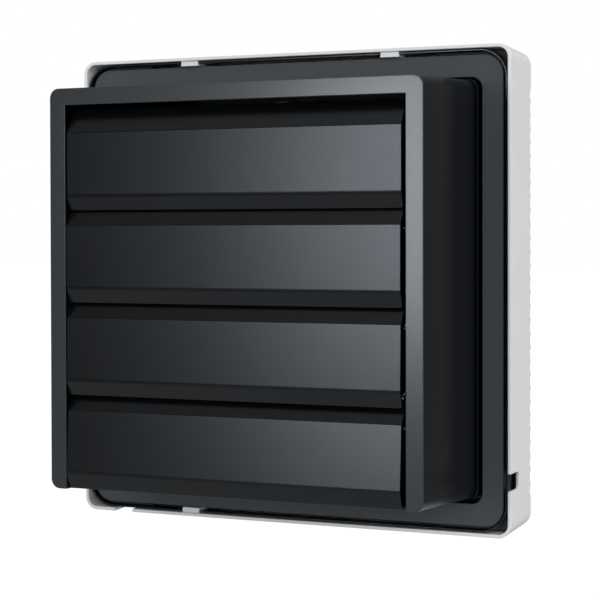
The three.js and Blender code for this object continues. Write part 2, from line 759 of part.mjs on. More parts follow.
function impeller() {
  const hub = turned([
    [shaftRadius + shaftFit, hubFront],
    [hubRadius - hubWall, hubFront],
    [hubRadius, hubFront + hubWall],
    [hubRadius, hubFront + hubLength],
    [hubRadius - hubWall, hubFront + hubLength],
    [hubRadius - hubWall, hubFront + 2 * hubWall],
    [nutRadius, hubFront + 2 * hubWall],
    [nutRadius, hubFront + hubLength - hubWall],
    [shaftRadius + shaftFit, hubFront + hubLength - hubWall],
  ]);
  const blades = Array.from({ length: bladeCount }, (_, i) => {
    const start = (i * 2 * Math.PI) / bladeCount;
    const rings = Array.from({ length: bladeSteps + 1 }, (_, step) => bladeRing(step / bladeSteps, start));
    return loft(rings);
  });
  return join(hub, ...blades);
}
add('impeller', impeller(), blackPlastic);

function impellerNut() {
  const front = hubFront - nutLength;
  return turned([
    [0, front],
    [nutRadius * 0.7, front],
    [nutRadius, front + nutCap],
    [nutRadius, hubFront],
    [shaftRadius + shaftFit, hubFront],
    [shaftRadius + shaftFit, front + nutCap],
    [0, front + nutCap],
  ], shaftSteps);
}
add('impeller_nut', impellerNut(), blackPlastic);

// --- Motor ---------------------------------------------------------------------------------------
const shaftSpan = [hubFront - nutLength + nutCap, motorEnd - bearingLength / 4];
add('motor_shaft', rod(shaftRadius, shaftSpan, 0, 0, shaftSteps), steel);
add('rotor', turned([
  [shaftRadius + shaftFit, coreSpan[0]],
  [statorBore - airGap, coreSpan[0]],
  [statorBore - airGap, coreSpan[1]],
  [shaftRadius + shaftFit, coreSpan[1]],
]), laminations);
add('stator', turned([
  [statorBore, coreSpan[0]],
  [motorRadius - motorWall, coreSpan[0]],
  [motorRadius - motorWall, coreSpan[1]],
  [statorBore, coreSpan[1]],
]), laminations);
add('motor_can', turned([
  [motorRadius - motorWall, bodyStart],
  [motorRadius, bodyStart],
  [motorRadius, bodyEnd],
  [motorRadius - motorWall, bodyEnd],
]), zinc);

function bearing(start) {
  return turned([
    [shaftRadius + bearingFit, start],
    [bearingRadius, start],
    [bearingRadius, start + bearingLength],
    [shaftRadius + bearingFit, start + bearingLength],
  ], shaftSteps);
}
add('front_bearing', bearing(motorFront), bronze);
add('rear_bearing', bearing(motorEnd - bearingLength), bronze);

const motorScrewPlaces = [0, 1, 2, 3].map((i) => {
  const angle = ((i + 0.5) * Math.PI) / 2;
  return [motorScrewReach * Math.cos(angle), motorScrewReach * Math.sin(angle)];
});

// A cup that closes one end of the can and carries a bearing.
// Its open side is at mouth, and its closed side is at floor.
function motorBell(floor, mouth) {
  const inward = Math.sign(mouth - floor);
  const wall = 2 * motorWall * inward;
  return turned([
    [bearingRadius + seatGap, floor],
    [motorRadius - motorWall, floor],
    [motorRadius, floor + wall / 2],
    [motorRadius, mouth],
    [motorRadius - motorWall, mouth],
    [motorRadius - motorWall, floor + wall],
    [bellSpigot, floor + wall],
    [bellSpigot - motorWall, floor + inward * bearingLength],
    [bearingRadius + seatGap, floor + inward * bearingLength],
  ]);
}

function frontBell() {
  const span = [motorFront, bodyStart - seatGap];
  const posts = motorScrewPlaces.map(([x, z]) => rod(motorPostRadius, span, x, z, screwSteps));
  const holes = motorScrewPlaces.map(([x, z]) => screwHole(x, z, through(span)));
  return cut(join(motorBell(motorFront, bodyStart), ...posts), ...holes);
}
add('motor_front_bell', frontBell(), zinc);
add('motor_rear_bell', motorBell(motorEnd, bodyEnd), zinc);

function motorBracket() {
  const span = [bracketFace, motorFront];
  const reach = bracketBossReach + bracketBossRadius;
  const half = bracketArmWidth / 2;
  const arms = join(box([-reach, reach], span, [-half, half]), box([-half, half], span, [-reach, reach]));
  const ring = rod(motorRadius + bracketMargin, span);
  const bore = rod(bearingRadius + seatGap, through(span), 0, 0, shaftSteps);
  const holes = [...bracketPlaces, ...motorScrewPlaces].map(([x, z]) => screwHole(x, z, through(span)));
  return cut(join(arms, ring), bore, ...holes);
}
add('motor_bracket', motorBracket(), steel);

motorScrewPlaces.forEach(([x, z], i) => {
  add(`motor_screw_${i + 1}`, screw(x, z, bracketFace, bracketThickness + bellDepth - overcut), zinc);
});
bracketPlaces.forEach(([x, z], i) => {
  add(`bracket_screw_${i + 1}`, screw(x, z, motorFront, screwLength, 1), zinc);
});
earPlaces.forEach(([x, z], i) => {
  add(`box_screw_${i + 1}`, screw(x, z, plateFront, screwLength), zinc);
});
postPlaces.forEach(([x, z], i) => {
  add(`plate_screw_${i + 1}`, screw(x, z, plateFront, screwLength), zinc);
});

// --- Electrical parts ----------------------------------------------------------------------------
function terminalBox() {
  const end = terminalEnd;
  const wall = terminalWall;
  const shell = cut(
    box([terminalLeft, terminalRight], [plateBack, end], [terminalBottom, terminalTop]),
    box(
      [terminalLeft + wall, terminalRight - wall],
      [plateBack - overcut, end - wall],
      [terminalBottom + wall, terminalTop - wall],
    ),
  );
  const [x, z] = coverScrewPlace;
  const post = rod(terminalPostRadius, [plateBack, end - wall / 2], x, z, pinSteps);
  const screwBore = screwHole(x, z, [plateBack - overcut, plateBack + screwLength]);
  const sideSpan = through([terminalLeft, terminalLeft + wall]);
  const cableHole = crossRod(cableRadius + seatGap, sideSpan, cableY, cableZ);
  const floorSpan = through([end - wall, end]);
  const leadHole = rod(leadRadius + leadRoom, floorSpan, leadEntry.x, leadEntry.z, pinSteps);
  return cut(join(shell, post), screwBore, cableHole, leadHole);
}
add('terminal_box', terminalBox(), creamPlastic);

function terminalCover() {
  const over = coverOverlap;
  const [x, z] = coverScrewPlace;
  const span = [plateFront - coverThickness, plateFront];
  return cut(
    box([terminalLeft - over, terminalRight + over], span, [terminalBottom - over, terminalTop + over]),
    screwHole(x, z, through(span)),
  );
}
add('terminal_cover', terminalCover(), creamPlastic);
add('terminal_cover_screw', screw(...coverScrewPlace, plateFront - coverThickness, screwLength), zinc);

// A row of clamp terminals on the box's floor, open towards the cover.
function terminalBlock() {
  const left = terminalLeft + terminalWall + (terminalWidth - 2 * terminalWall - blockWidth) / 2;
  const end = terminalEnd - terminalWall;
  const bottom = terminalBottom + terminalWall + cableRadius;
  const block = box([left, left + blockWidth], [end - blockDepth, end], [bottom, bottom + blockHeight]);
  const pitch = blockWidth / blockPoles;
  const poleSpan = [end - blockDepth - overcut, end - blockDepth / 3];
  const poles = Array.from({ length: blockPoles }, (_, i) => {
    const x = left + (i + 0.5) * pitch;
    return rod(poleRadius, poleSpan, x, bottom + blockHeight / 2, screwSteps);
  });
  return cut(block, ...poles);
}
add('terminal_block', terminalBlock(), whitePlastic);

// A rubber bush in the housing's side, where a supply cable enters behind the front panel's notch.
function cableGrommet() {
  const [skirtOuter, skirtInner] = [-skirtHalf, skirtWall - skirtHalf];
  const rim = [skirtOuter - grommetFlange, skirtOuter];
  const collar = [skirtInner, skirtInner + grommetFlange];
  return cut(
    join(
      crossRod(grommetRadius, [rim[0], collar[1]], cableY, cableZ),
      crossRod(grommetRadius + grommetFlange, rim, cableY, cableZ),
      crossRod(grommetRadius + grommetFlange, collar, cableY, cableZ),
    ),
    crossRod(cableRadius, through([rim[0], collar[1]]), cableY, cableZ),
  );
}
add('cable_grommet', cableGrommet(), blackRubber);

function capacitor() {
  const body = box(
    [capacitorLeft, capacitorRight],
    [plateBack, capacitorEnd],
    [capacitorBottom, capacitorBottom + capacitorHeight],
  );
  const [x, z] = capacitorScrewPlace;
  const tabHalf = capacitorTab / 2;
  const tabSpan = [plateBack, plateBack + tabThickness];
  const tab = box([x - tabHalf, x + tabHalf], tabSpan, [z - tabHalf, capacitorBottom + tabHalf]);
  return cut(join(body, tab), screwHole(x, z, through(tabSpan)));
}
add('capacitor', capacitor(), whitePlastic);
add('capacitor_screw', screw(...capacitorScrewPlace, plateBack + tabThickness, plateThickness, 1), zinc);

// The sleeved lead from the motor's can to the terminal box.
function motorLead() {
  const diagonal = (radius) => -radius * Math.SQRT1_2;
  const exitY = bodyStart + bellDepth;
  const points = [
    [diagonal(motorRadius), exitY, diagonal(motorRadius)],
    [diagonal(motorRadius + leadStub), exitY, diagonal(motorRadius + leadStub)],
    [leadEntry.x + leadBend, exitY, leadEntry.z + leadBend],
    [leadEntry.x, (exitY + terminalEnd) / 2, leadEntry.z],
    [leadEntry.x, terminalEnd, leadEntry.z],
    [leadEntry.x, terminalEnd - terminalWall - leadRadius, leadEntry.z],
  ].map((point) => new THREE.Vector3(...point));
  const section = new THREE.Shape().absarc(0, 0, leadRadius, 0, 2 * Math.PI);
  const options = {
    steps: leadSteps,
    curveSegments: leadSides,
    extrudePath: new THREE.CatmullRomCurve3(points),
    bevelEnabled: false,
  };
  return solid(new THREE.ExtrudeGeometry(section, options));
}
add('motor_lead', motorLead(), paleWire);

export default fan;
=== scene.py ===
"""A window exhaust fan seen from outdoors: its visible pieces, their finishes and a plain studio.

Lengths are millimetres until a mesh is made. +Z is up, +Y points outdoors, and the origin is the
centre of the mounting flange's outdoor face.
"""

import json
import logging
import math
from dataclasses import dataclass, field, replace
from enum import Enum
from typing import Any, Iterable, Sequence

import bmesh
import bpy
from mathutils import Matrix, Quaternion, Vector


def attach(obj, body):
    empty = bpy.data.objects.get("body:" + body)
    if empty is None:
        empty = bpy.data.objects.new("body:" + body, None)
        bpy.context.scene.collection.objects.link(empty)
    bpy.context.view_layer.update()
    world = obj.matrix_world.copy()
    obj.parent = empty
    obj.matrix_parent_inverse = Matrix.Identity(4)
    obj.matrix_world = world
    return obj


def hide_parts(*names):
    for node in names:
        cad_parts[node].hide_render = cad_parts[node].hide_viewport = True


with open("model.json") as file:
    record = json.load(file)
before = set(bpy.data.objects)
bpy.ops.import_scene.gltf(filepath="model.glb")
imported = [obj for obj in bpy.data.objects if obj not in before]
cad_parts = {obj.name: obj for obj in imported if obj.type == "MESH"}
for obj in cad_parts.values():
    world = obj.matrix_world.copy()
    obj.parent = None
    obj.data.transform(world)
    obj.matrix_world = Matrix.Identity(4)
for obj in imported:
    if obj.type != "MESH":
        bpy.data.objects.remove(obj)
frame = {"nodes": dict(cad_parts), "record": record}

LOG = logging.getLogger("exhaust_fan")
MM = 0.001
PHOTO_SIZE = 600  # width and height of the photograph's frame, in pixels
SAME_POINT = 1e-4  # millimetres between two points that are one
SHORTEST_EDGE = 0.04  # millimetres; the booleans leave shorter ones where faces nearly meet
QUAD = 4  # corners of the widest face that isn't split
FLAT_WEIGHT = 80  # how strongly large faces shade their own corners, out of 100
FIT = 0.1  # millimetres from a part to the bore that it passes through
CORNER_STEPS = 6  # straight steps in a small round corner
SMALL_STEPS = 24  # straight steps round a screw, a pin or a small hole
PIVOT_STEPS = 32  # straight steps round a flap's pivot
SCREW_SET = 4  # equal screws in each set
WHITE = (1.0, 1.0, 1.0, 1.0)

Point = tuple[float, float]
Place = tuple[float, float, float]
Span = tuple[float, float]
Colour = tuple[float, float, float]


# ---------------------------------------------------------------------------- outlines and solids
class Axis(Enum):
    """The axis that a bar or an extrusion runs along."""

    X = 0
    Y = 1
    Z = 2

    def place(self, first: float, second: float, along: float) -> Place:
        """A point from its two section coordinates and its place along this axis."""
        if self is Axis.X:
            return (along, first, second)
        if self is Axis.Y:
            return (first, along, second)
        return (first, second, along)


class Side(Enum):
    """The two sides of the middle plane, by the sign of x."""

    RIGHT = -1
    LEFT = 1

    def outwards(self, near: float, far: float) -> Span:
        """A span of x on this side, from two distances to the middle plane."""
        return (-far, -near) if self is Side.RIGHT else (near, far)


def arc(centre: Point, radius: float, start: float, end: float, steps: int) -> list[Point]:
    """Points on a circular arc.

    Args:
        centre: Middle of the arc.
        radius: Its radius.
        start: First angle, in degrees.
        end: Last angle, in degrees.
        steps: How many straight steps stand for the arc.

    Returns:
        steps + 1 points, from start to end.
    """
    angles = [math.radians(start + (end - start) * i / steps) for i in range(steps + 1)]
    return [(centre[0] + radius * math.cos(a), centre[1] + radius * math.sin(a)) for a in angles]


def quarter_turn() -> list[float]:
    """The angles of a quarter turn in the steps of a small corner, in radians."""
    return [math.radians(90 * i / CORNER_STEPS) for i in range(CORNER_STEPS + 1)]


def rounded_rectangle(width: float, height: float, radius: float, steps: int = 10) -> list[Point]:
    """The outline of a rectangle with round corners about the middle.

    Args:
        width: Size along the first axis.
        height: Size along the second axis.
        radius: Corner radius.
        steps: Straight steps in each corner.

    Returns:
        The outline's points, counter-clockwise.
    """
    across, up = width / 2 - radius, height / 2 - radius
    corners = [(across, up), (-across, up), (-across, -up), (across, -up)]
    points: list[Point] = []
    for turn, corner in enumerate(corners):
        points += arc(corner, radius, 90 * turn, 90 * (turn + 1), steps)
    return points


def through(span: Span) -> Span:
    """The span made a millimetre longer at both ends, for a tool that cuts right through it."""
    return (span[0] - 1, span[1] + 1)


def new_object(name: str, data: bpy.types.ID) -> bpy.types.Object:
    """A new object in the scene."""
    thing = bpy.data.objects.new(name, data)
    bpy.context.scene.collection.objects.link(thing)
    return thing


def plain_mesh(holder: bpy.types.Object) -> bpy.types.Mesh:
    """What an object's modifiers make of it, as a plain mesh. The object is removed."""
    graph = bpy.context.evaluated_depsgraph_get()
    mesh = bpy.data.meshes.new_from_object(holder.evaluated_get(graph))
    bpy.data.objects.remove(holder)
    return mesh


class Solid:
    """A closed mesh in millimetres that other solids are joined to or cut from."""

    def __init__(self, mesh: bpy.types.Mesh) -> None:
        """Takes over a closed mesh."""
        self.mesh = mesh

    @classmethod
    def from_faces(cls, points: Sequence[Place], faces: Sequence[Sequence[int]]) -> "Solid":
        """A solid from points and the faces between them.

        Args:
            points: Corner points.
            faces: Indices of each face's points.

        Returns:
            The solid, with doubled points merged and its faces pointing out.
        """
        mesh = bpy.data.meshes.new("solid")
        mesh.from_pydata(points, [], faces)
        work = bmesh.new()
        work.from_mesh(mesh)
        bmesh.ops.remove_doubles(work, verts=work.verts, dist=SAME_POINT)
        loose = [edge for edge in work.edges if not edge.link_faces]
        bmesh.ops.delete(work, geom=loose, context="EDGES")
        bmesh.ops.recalc_face_normals(work, faces=work.faces)
        work.to_mesh(mesh)
        work.free()
        return cls(mesh)

    @classmethod
    def box(cls, x: Span, y: Span, z: Span) -> "Solid":
        """A block between two values of each coordinate."""
        outline = [(x[0], z[0]), (x[1], z[0]), (x[1], z[1]), (x[0], z[1])]
        return cls.prism(outline, y)

    @classmethod
    def prism(cls, outline: Sequence[Point], span: Span, axis: Axis = Axis.Y) -> "Solid":
        """An outline made solid along an axis.

        Args:
            outline: Points in the other two coordinates, in x, y, z order.
            span: Where it starts and ends along the axis.
            axis: The axis that it runs along.

        Returns:
            The solid.
        """
        return cls.loft([[axis.place(a, b, end) for a, b in outline] for end in span])

    @classmethod
    def rod(
        cls, radius: float, span: Span, axis: Axis = Axis.Y, at: Point = (0, 0), steps: int = 48
    ) -> "Solid":
        """A round bar along an axis."""
        return cls.prism(arc(at, radius, 0, 360 - 360 / steps, steps - 1), span, axis)

    @classmethod
    def turned(cls, profile: Sequence[Point], steps: int = 64, at: Point = (0, 0)) -> "Solid":
        """A closed profile of (radius, y) points turned about an axis along Y.

        Args:
            profile: The section's points, in order round it.
            steps: Straight steps in the full turn.
            at: x and z of the axis.

        Returns:
            The solid.
        """
        rings = []
        for step in range(steps):
            angle = math.tau * step / steps
            c, s = math.cos(angle), math.sin(angle)
            rings.append([(at[0] + r * c, y, at[1] + r * s) for r, y in profile])
        return cls.loft(rings, closed=True)

    @classmethod
    def loft(
        cls, rings: Sequence[Sequence[Place]], closed: bool = False, folded: bool = False
    ) -> "Solid":
        """A solid through rings of points that match one to one.

        Args:
            rings: The rings, in order.
            closed: Whether the last ring joins the first. Otherwise both ends get a cap.
            folded: Whether a ring's second half runs back beside its first, as on a thin blade.

        Returns:
            The solid.
        """
        count = len(rings[0])
        points = [point for ring in rings for point in ring]
        faces: list[Sequence[int]] = []
        for ring in range(len(rings) if closed else len(rings) - 1):
            low, high = ring * count, (ring + 1) % len(rings) * count
            for i in range(count):
                j = (i + 1) % count
                faces.append((low + i, low + j, high + j, high + i))
        for start in () if closed else (0, len(points) - count):
            if folded:
                last = start + count - 1
                pairs = [(start + i, last - i) for i in range(count // 2)]
                faces += [(a, b, d, c) for (a, c), (b, d) in zip(pairs, pairs[1:])]
            else:
                faces.append(range(start, start + count))
        return cls.from_faces(points, faces)

    def _with(self, other: "Solid", operation: str) -> "Solid":
        """The result of one boolean operation with another solid."""
        holder, tool = (new_object("work", solid.mesh) for solid in (self, other))
        modifier = holder.modifiers.new("work", "BOOLEAN")
        modifier.operation = operation
        modifier.solver = "MANIFOLD"
        modifier.object = tool
        result = Solid(plain_mesh(holder))
        bpy.data.objects.remove(tool)
        return result

    def __add__(self, other: "Solid") -> "Solid":
        """This solid joined to another."""
        return self._with(other, "UNION")

    def __sub__(self, other: "Solid") -> "Solid":
        """What is left of this solid once another is cut away."""
        return self._with(other, "DIFFERENCE")

    def __and__(self, other: "Solid") -> "Solid":
        """What this solid and another share."""
        return self._with(other, "INTERSECT")

    def joined(self, others: Iterable["Solid"]) -> "Solid":
        """This solid joined to all the others."""
        whole = self
        for other in others:
            whole = whole + other
        return whole

    def cut(self, tools: Iterable["Solid"]) -> "Solid":
        """What is left of this solid once every tool is cut away."""
        rest = self
        for tool in tools:
            rest = rest - tool
        return rest

    def moved(self, x: float = 0, y: float = 0, z: float = 0) -> "Solid":
        """This solid moved to another place."""
        self.mesh.transform(Matrix.Translation((x, y, z)))
        return self

    def tilted(self, degrees: float, y: float, z: float) -> "Solid":
        """This solid turned about a line along X, what is below it coming outwards."""
        line = Matrix.Translation((0, y, z))
        turn = Matrix.Rotation(math.radians(degrees), 4, "X")
        self.mesh.transform(line @ turn @ line.inverted())
        return self


@dataclass(frozen=True)
class Edge:
    """How a piece's sharp edges are rounded, in millimetres."""

    radius: float
    segments: int
    sharpest: float = 32.0  # degrees between two faces, above which the edge is rounded
    seams: tuple[float, ...] = ()  # places in x and z at which long flat faces are split first

    def round(self, holder: bpy.types.Object) -> bpy.types.Mesh:
        """Rounds an object's sharp edges and keeps its flat faces flat.

        Args:
            holder: An object in metres, linked to the scene. It is removed.

        Returns:
            The finished mesh.
        """
        bevel = holder.modifiers.new("edges", "BEVEL")
        bevel.width = self.radius * MM
        bevel.segments = self.segments
        bevel.limit_method = "ANGLE"
        bevel.angle_limit = math.radians(self.sharpest)
        bevel.use_clamp_overlap = False
        bevel.loop_slide = False
        bevel.miter_outer = "MITER_ARC"
        flatten = holder.modifiers.new("flats", "WEIGHTED_NORMAL")
        flatten.weight = FLAT_WEIGHT
        flatten.keep_sharp = True
        return plain_mesh(holder)


def clean_mesh(solid: Solid, seams: Sequence[float]) -> bpy.types.Mesh:
    """A solid's mesh in metres, ready for its modifiers.

    Args:
        solid: The shape, in millimetres.
        seams: Places in x and z at which its faces are split.

    Returns:
        The mesh, with doubled points merged and every face of more than four corners split.
    """
    work = bmesh.new()
    work.from_mesh(solid.mesh)
    for place in seams:
        for across in (Vector((1, 0, 0)), Vector((0, 0, 1))):
            parts = [*work.verts, *work.edges, *work.faces]
            bmesh.ops.bisect_plane(work, geom=parts, plane_co=across * place, plane_no=across)
    bmesh.ops.remove_doubles(work, verts=work.verts, dist=SHORTEST_EDGE)
    bmesh.ops.dissolve_degenerate(work, edges=work.edges, dist=SHORTEST_EDGE)
    wide = [face for face in work.faces if len(face.verts) > QUAD]
    bmesh.ops.triangulate(work, faces=wide)
    bmesh.ops.scale(work, vec=(MM, MM, MM), verts=work.verts)
    for face in work.faces:
        face.smooth = True
    mesh = bpy.data.meshes.new("piece")
    work.to_mesh(mesh)
    work.free()
    return mesh


# -------------------------------------------------------------------------------- node builders
class NodeBuilder:
    """Adds nodes to a node tree."""

    def __init__(self, tree: bpy.types.NodeTree) -> None:
        """Takes the tree that the nodes go into."""
        self.tree = tree

    def feed(self, socket: bpy.types.NodeSocket, value: Any) -> None:
        """Links a socket or signal to an input, or sets the input's value."""
        if isinstance(value, Signal):
            value = value.socket
        if isinstance(value, bpy.types.NodeSocket):
            self.tree.links.new(value, socket)
        else:
            socket.default_value = value

    def node(
        self,
        kind: str,
        settings: dict[str, Any] | None = None,
        inputs: dict[Any, Any] | None = None,
    ) -> bpy.types.Node:
        """Adds a node.

        Args:
            kind: The node's type.
            settings: Its properties, set first.
            inputs: Values, sockets or signals, by the input's name or number.

        Returns:
            The new node.
        """
        node = self.tree.nodes.new(kind)
        for name, value in (settings or {}).items():
            setattr(node, name, value)
        for key, value in (inputs or {}).items():
            self.feed(node.inputs[key], value)
        return node

    def signal(self, node: bpy.types.Node, output: Any = 0) -> "Signal":
        """One of a node's outputs as a signal."""
        return Signal(self, node.outputs[output])


class Signal:
    """A socket in a Python expression. Each operator adds the Math node that works it out."""

    def __init__(self, nodes: NodeBuilder, socket: bpy.types.NodeSocket) -> None:
        """Wraps one output socket."""
        self.nodes = nodes
        self.socket = socket

    def _math(self, operation: str, *values: Any) -> "Signal":
        """The result of a Math node on the given values."""
        settings, inputs = {"operation": operation}, dict(enumerate(values))
        return self.nodes.signal(self.nodes.node("ShaderNodeMath", settings, inputs))

    def __add__(self, other: Any) -> "Signal":
        """self + other"""
        return self._math("ADD", self, other)

    def __radd__(self, other: Any) -> "Signal":
        """other + self"""
        return self._math("ADD", other, self)

    def __sub__(self, other: Any) -> "Signal":
        """self - other"""
        return self._math("SUBTRACT", self, other)

    def __rsub__(self, other: Any) -> "Signal":
        """other - self"""
        return self._math("SUBTRACT", other, self)

    def __mul__(self, other: Any) -> "Signal":
        """self * other"""
        return self._math("MULTIPLY", self, other)

    def __rmul__(self, other: Any) -> "Signal":
        """other * self"""
        return self._math("MULTIPLY", other, self)

    def __truediv__(self, other: Any) -> "Signal":
        """self / other"""
        return self._math("DIVIDE", self, other)

    def function(self, operation: str, *values: Any) -> "Signal":
        """A Math node's function of this signal, such as SINE or FRACT."""
        return self._math(operation, self, *values)

    def mapped(
        self, low: float, high: float, to_low: float = 0.0, to_high: float = 1.0
    ) -> "Signal":
        """This signal's range from low to high, smoothly mapped onto another range."""
        inputs = {
            "Value": self,
            "From Min": low,
            "From Max": high,
            "To Min": to_low,
            "To Max": to_high,
        }
        settings = {"interpolation_type": "SMOOTHSTEP"}
        return self.nodes.signal(self.nodes.node("ShaderNodeMapRange", settings, inputs))


class GeometryTree(NodeBuilder):
    """A Geometry Nodes tree with named inputs, which ends in plain, finished geometry."""

    def __init__(self, name: str, inputs: dict[str, str]) -> None:
        """Starts a tree.

        Args:
            name: The tree's name.
            inputs: Each input's name and socket type, besides the geometry and its material.
        """
        super().__init__(bpy.data.node_groups.new(name, "GeometryNodeTree"))
        geometry = "NodeSocketGeometry"
        self.tree.interface.new_socket("Geometry", in_out="OUTPUT", socket_type=geometry)
        sockets = {"Geometry": geometry, **inputs, "Material": "NodeSocketMaterial"}
        for label, socket in sockets.items():
            self.tree.interface.new_socket(label, in_out="INPUT", socket_type=socket)
        self.given = self.node("NodeGroupInput").outputs

    def close(self, geometry: bpy.types.NodeSocket) -> None:
        """Ends the tree: makes its instances real and gives them the material."""
        real = self.node("GeometryNodeRealizeInstances", None, {"Geometry": geometry}).outputs[0]
        inputs = {"Geometry": real, "Material": self.given["Material"]}
        coated = self.node("GeometryNodeSetMaterial", None, inputs).outputs[0]
        self.node("NodeGroupOutput", None, {"Geometry": coated})

    def repeat(self, points: bpy.types.NodeSocket, rotation: Any = (0.0, 0.0, 0.0)) -> None:
        """Ends the tree with a copy of its geometry at each point."""
        copies = {"Points": points, "Instance": self.given["Geometry"], "Rotation": rotation}
        self.close(self.node("GeometryNodeInstanceOnPoints", None, copies).outputs[0])

    def fit(self, holder: bpy.types.Object, values: dict[str, Any]) -> None:
        """Adds the tree to an object as a modifier.

        Args:
            holder: The object whose mesh goes into the tree.
            values: The tree's inputs by name.
        """
        modifier = holder.modifiers.new(self.tree.name, "NODES")
        modifier.node_group = self.tree
        for item in self.tree.interface.items_tree:
            if item.in_out == "INPUT" and item.name in values:
                modifier[item.identifier] = values[item.name]


def row_tree() -> GeometryTree:
    """A tree that repeats a piece in a straight row."""
    tree = GeometryTree(
        "row", {"Count": "NodeSocketInt", "First": "NodeSocketVector", "Step": "NodeSocketVector"}
    )
    given = tree.given
    line = {"Count": given["Count"], "Start Location": given["First"], "Offset": given["Step"]}
    tree.repeat(tree.node("GeometryNodeMeshLine", {"mode": "OFFSET"}, line).outputs[0])
    return tree


LOOSE_TURN = {"Loose": "NodeSocketFloat", "Seed": "NodeSocketInt"}
RANDOM_INPUTS = (2, 3, 8)  # a Random Value node's least and greatest float, and its seed
RANDOM_OUTPUT = 1  # its float


def loose_turn(tree: GeometryTree) -> bpy.types.NodeSocket:
    """A rotation about Y that differs from copy to copy, up to the tree's Loose input."""
    values = (0.0, tree.given["Loose"], tree.given["Seed"])
    inputs = dict(zip(RANDOM_INPUTS, values))
    node = tree.node("FunctionNodeRandomValue", {"data_type": "FLOAT"}, inputs)
    return node.outputs[RANDOM_OUTPUT]


def ring_tree() -> GeometryTree:
    """A tree that repeats a piece round the fan's axis, each copy turned with its place."""
    inputs = {"Count": "NodeSocketInt", "Radius": "NodeSocketFloat", "First": "NodeSocketFloat"}
    tree = GeometryTree("ring", {**inputs, **LOOSE_TURN})
    count, radius, first = (Signal(tree, tree.given[name]) for name in inputs)
    angle = tree.signal(tree.node("GeometryNodeInputIndex")) * math.tau / count + first
    across = {"X": angle.function("COSINE") * radius, "Z": angle.function("SINE") * radius}
    place = tree.node("ShaderNodeCombineXYZ", None, across).outputs[0]
    line = tree.node("GeometryNodeMeshLine", None, {"Count": count, "Offset": (0.0, 0.0, 0.0)})
    moved = {"Geometry": line.outputs[0], "Position": place}
    points = tree.node("GeometryNodeSetPosition", None, moved).outputs[0]
    turn = Signal(tree, loose_turn(tree)) - angle
    tree.repeat(points, tree.node("ShaderNodeCombineXYZ", None, {"Y": turn}).outputs[0])
    return tree


def corners_tree() -> GeometryTree:
    """A tree that puts a piece at the four corners of an upright rectangle about the axis."""
    inputs = {"Width": "NodeSocketFloat", "Height": "NodeSocketFloat"}
    tree = GeometryTree("corners", {**inputs, **LOOSE_TURN})
    size = {"Size X": tree.given["Width"], "Size Y": tree.given["Height"]}
    grid = {**size, "Vertices X": 2, "Vertices Y": 2}
    flat = tree.node("GeometryNodeMeshGrid", None, grid).outputs[0]
    upright = {"Geometry": flat, "Rotation": (math.pi / 2, 0.0, 0.0)}
    points = tree.node("GeometryNodeTransform", None, upright).outputs[0]
    turn = loose_turn(tree)
    tree.repeat(points, tree.node("ShaderNodeCombineXYZ", None, {"Y": turn}).outputs[0])
    return tree


def hose_tree() -> GeometryTree:
    """A tree that sweeps a round section along a line of points, with closed ends."""
    tree = GeometryTree("hose", {"Radius": "NodeSocketFloat", "Sides": "NodeSocketInt"})
    given = tree.given
    path = tree.node("GeometryNodeMeshToCurve", None, {"Mesh": given["Geometry"]}).outputs[0]
    section = {"Resolution": given["Sides"], "Radius": given["Radius"]}
    circle = tree.node("GeometryNodeCurvePrimitiveCircle", {"mode": "RADIUS"}, section).outputs[0]
    swept = {"Curve": path, "Profile Curve": circle, "Fill Caps": True}
    tree.close(tree.node("GeometryNodeCurveToMesh", None, swept).outputs[0])
    return tree


class Repeat(Enum):
    """The ways in which a piece is repeated or swept."""

    ROW = "row"
    RING = "ring"
    CORNERS = "corners"
    HOSE = "hose"

    def tree(self) -> GeometryTree:
        """A new tree that works in this way."""
        makers = {
            Repeat.ROW: row_tree,
            Repeat.RING: ring_tree,
            Repeat.CORNERS: corners_tree,
            Repeat.HOSE: hose_tree,
        }
        return makers[self]()


@dataclass(frozen=True)
class Pattern:
    """One use of a tree: the way it works and its inputs by name, in metres and radians."""

    way: Repeat
    values: dict[str, Any]

    def fit(self, holder: bpy.types.Object, material: bpy.types.Material) -> None:
        """Adds the tree to the object that holds the piece to repeat."""
        self.way.tree().fit(holder, {**self.values, "Material": material})


# ---------------------------------------------------------------------------------------- finishes
def emptied_tree(owner: bpy.types.Material | bpy.types.World) -> bpy.types.NodeTree:
    """A material's or world's node tree, with no nodes in it."""
    owner.use_nodes = True
    owner.node_tree.nodes.clear()
    return owner.node_tree


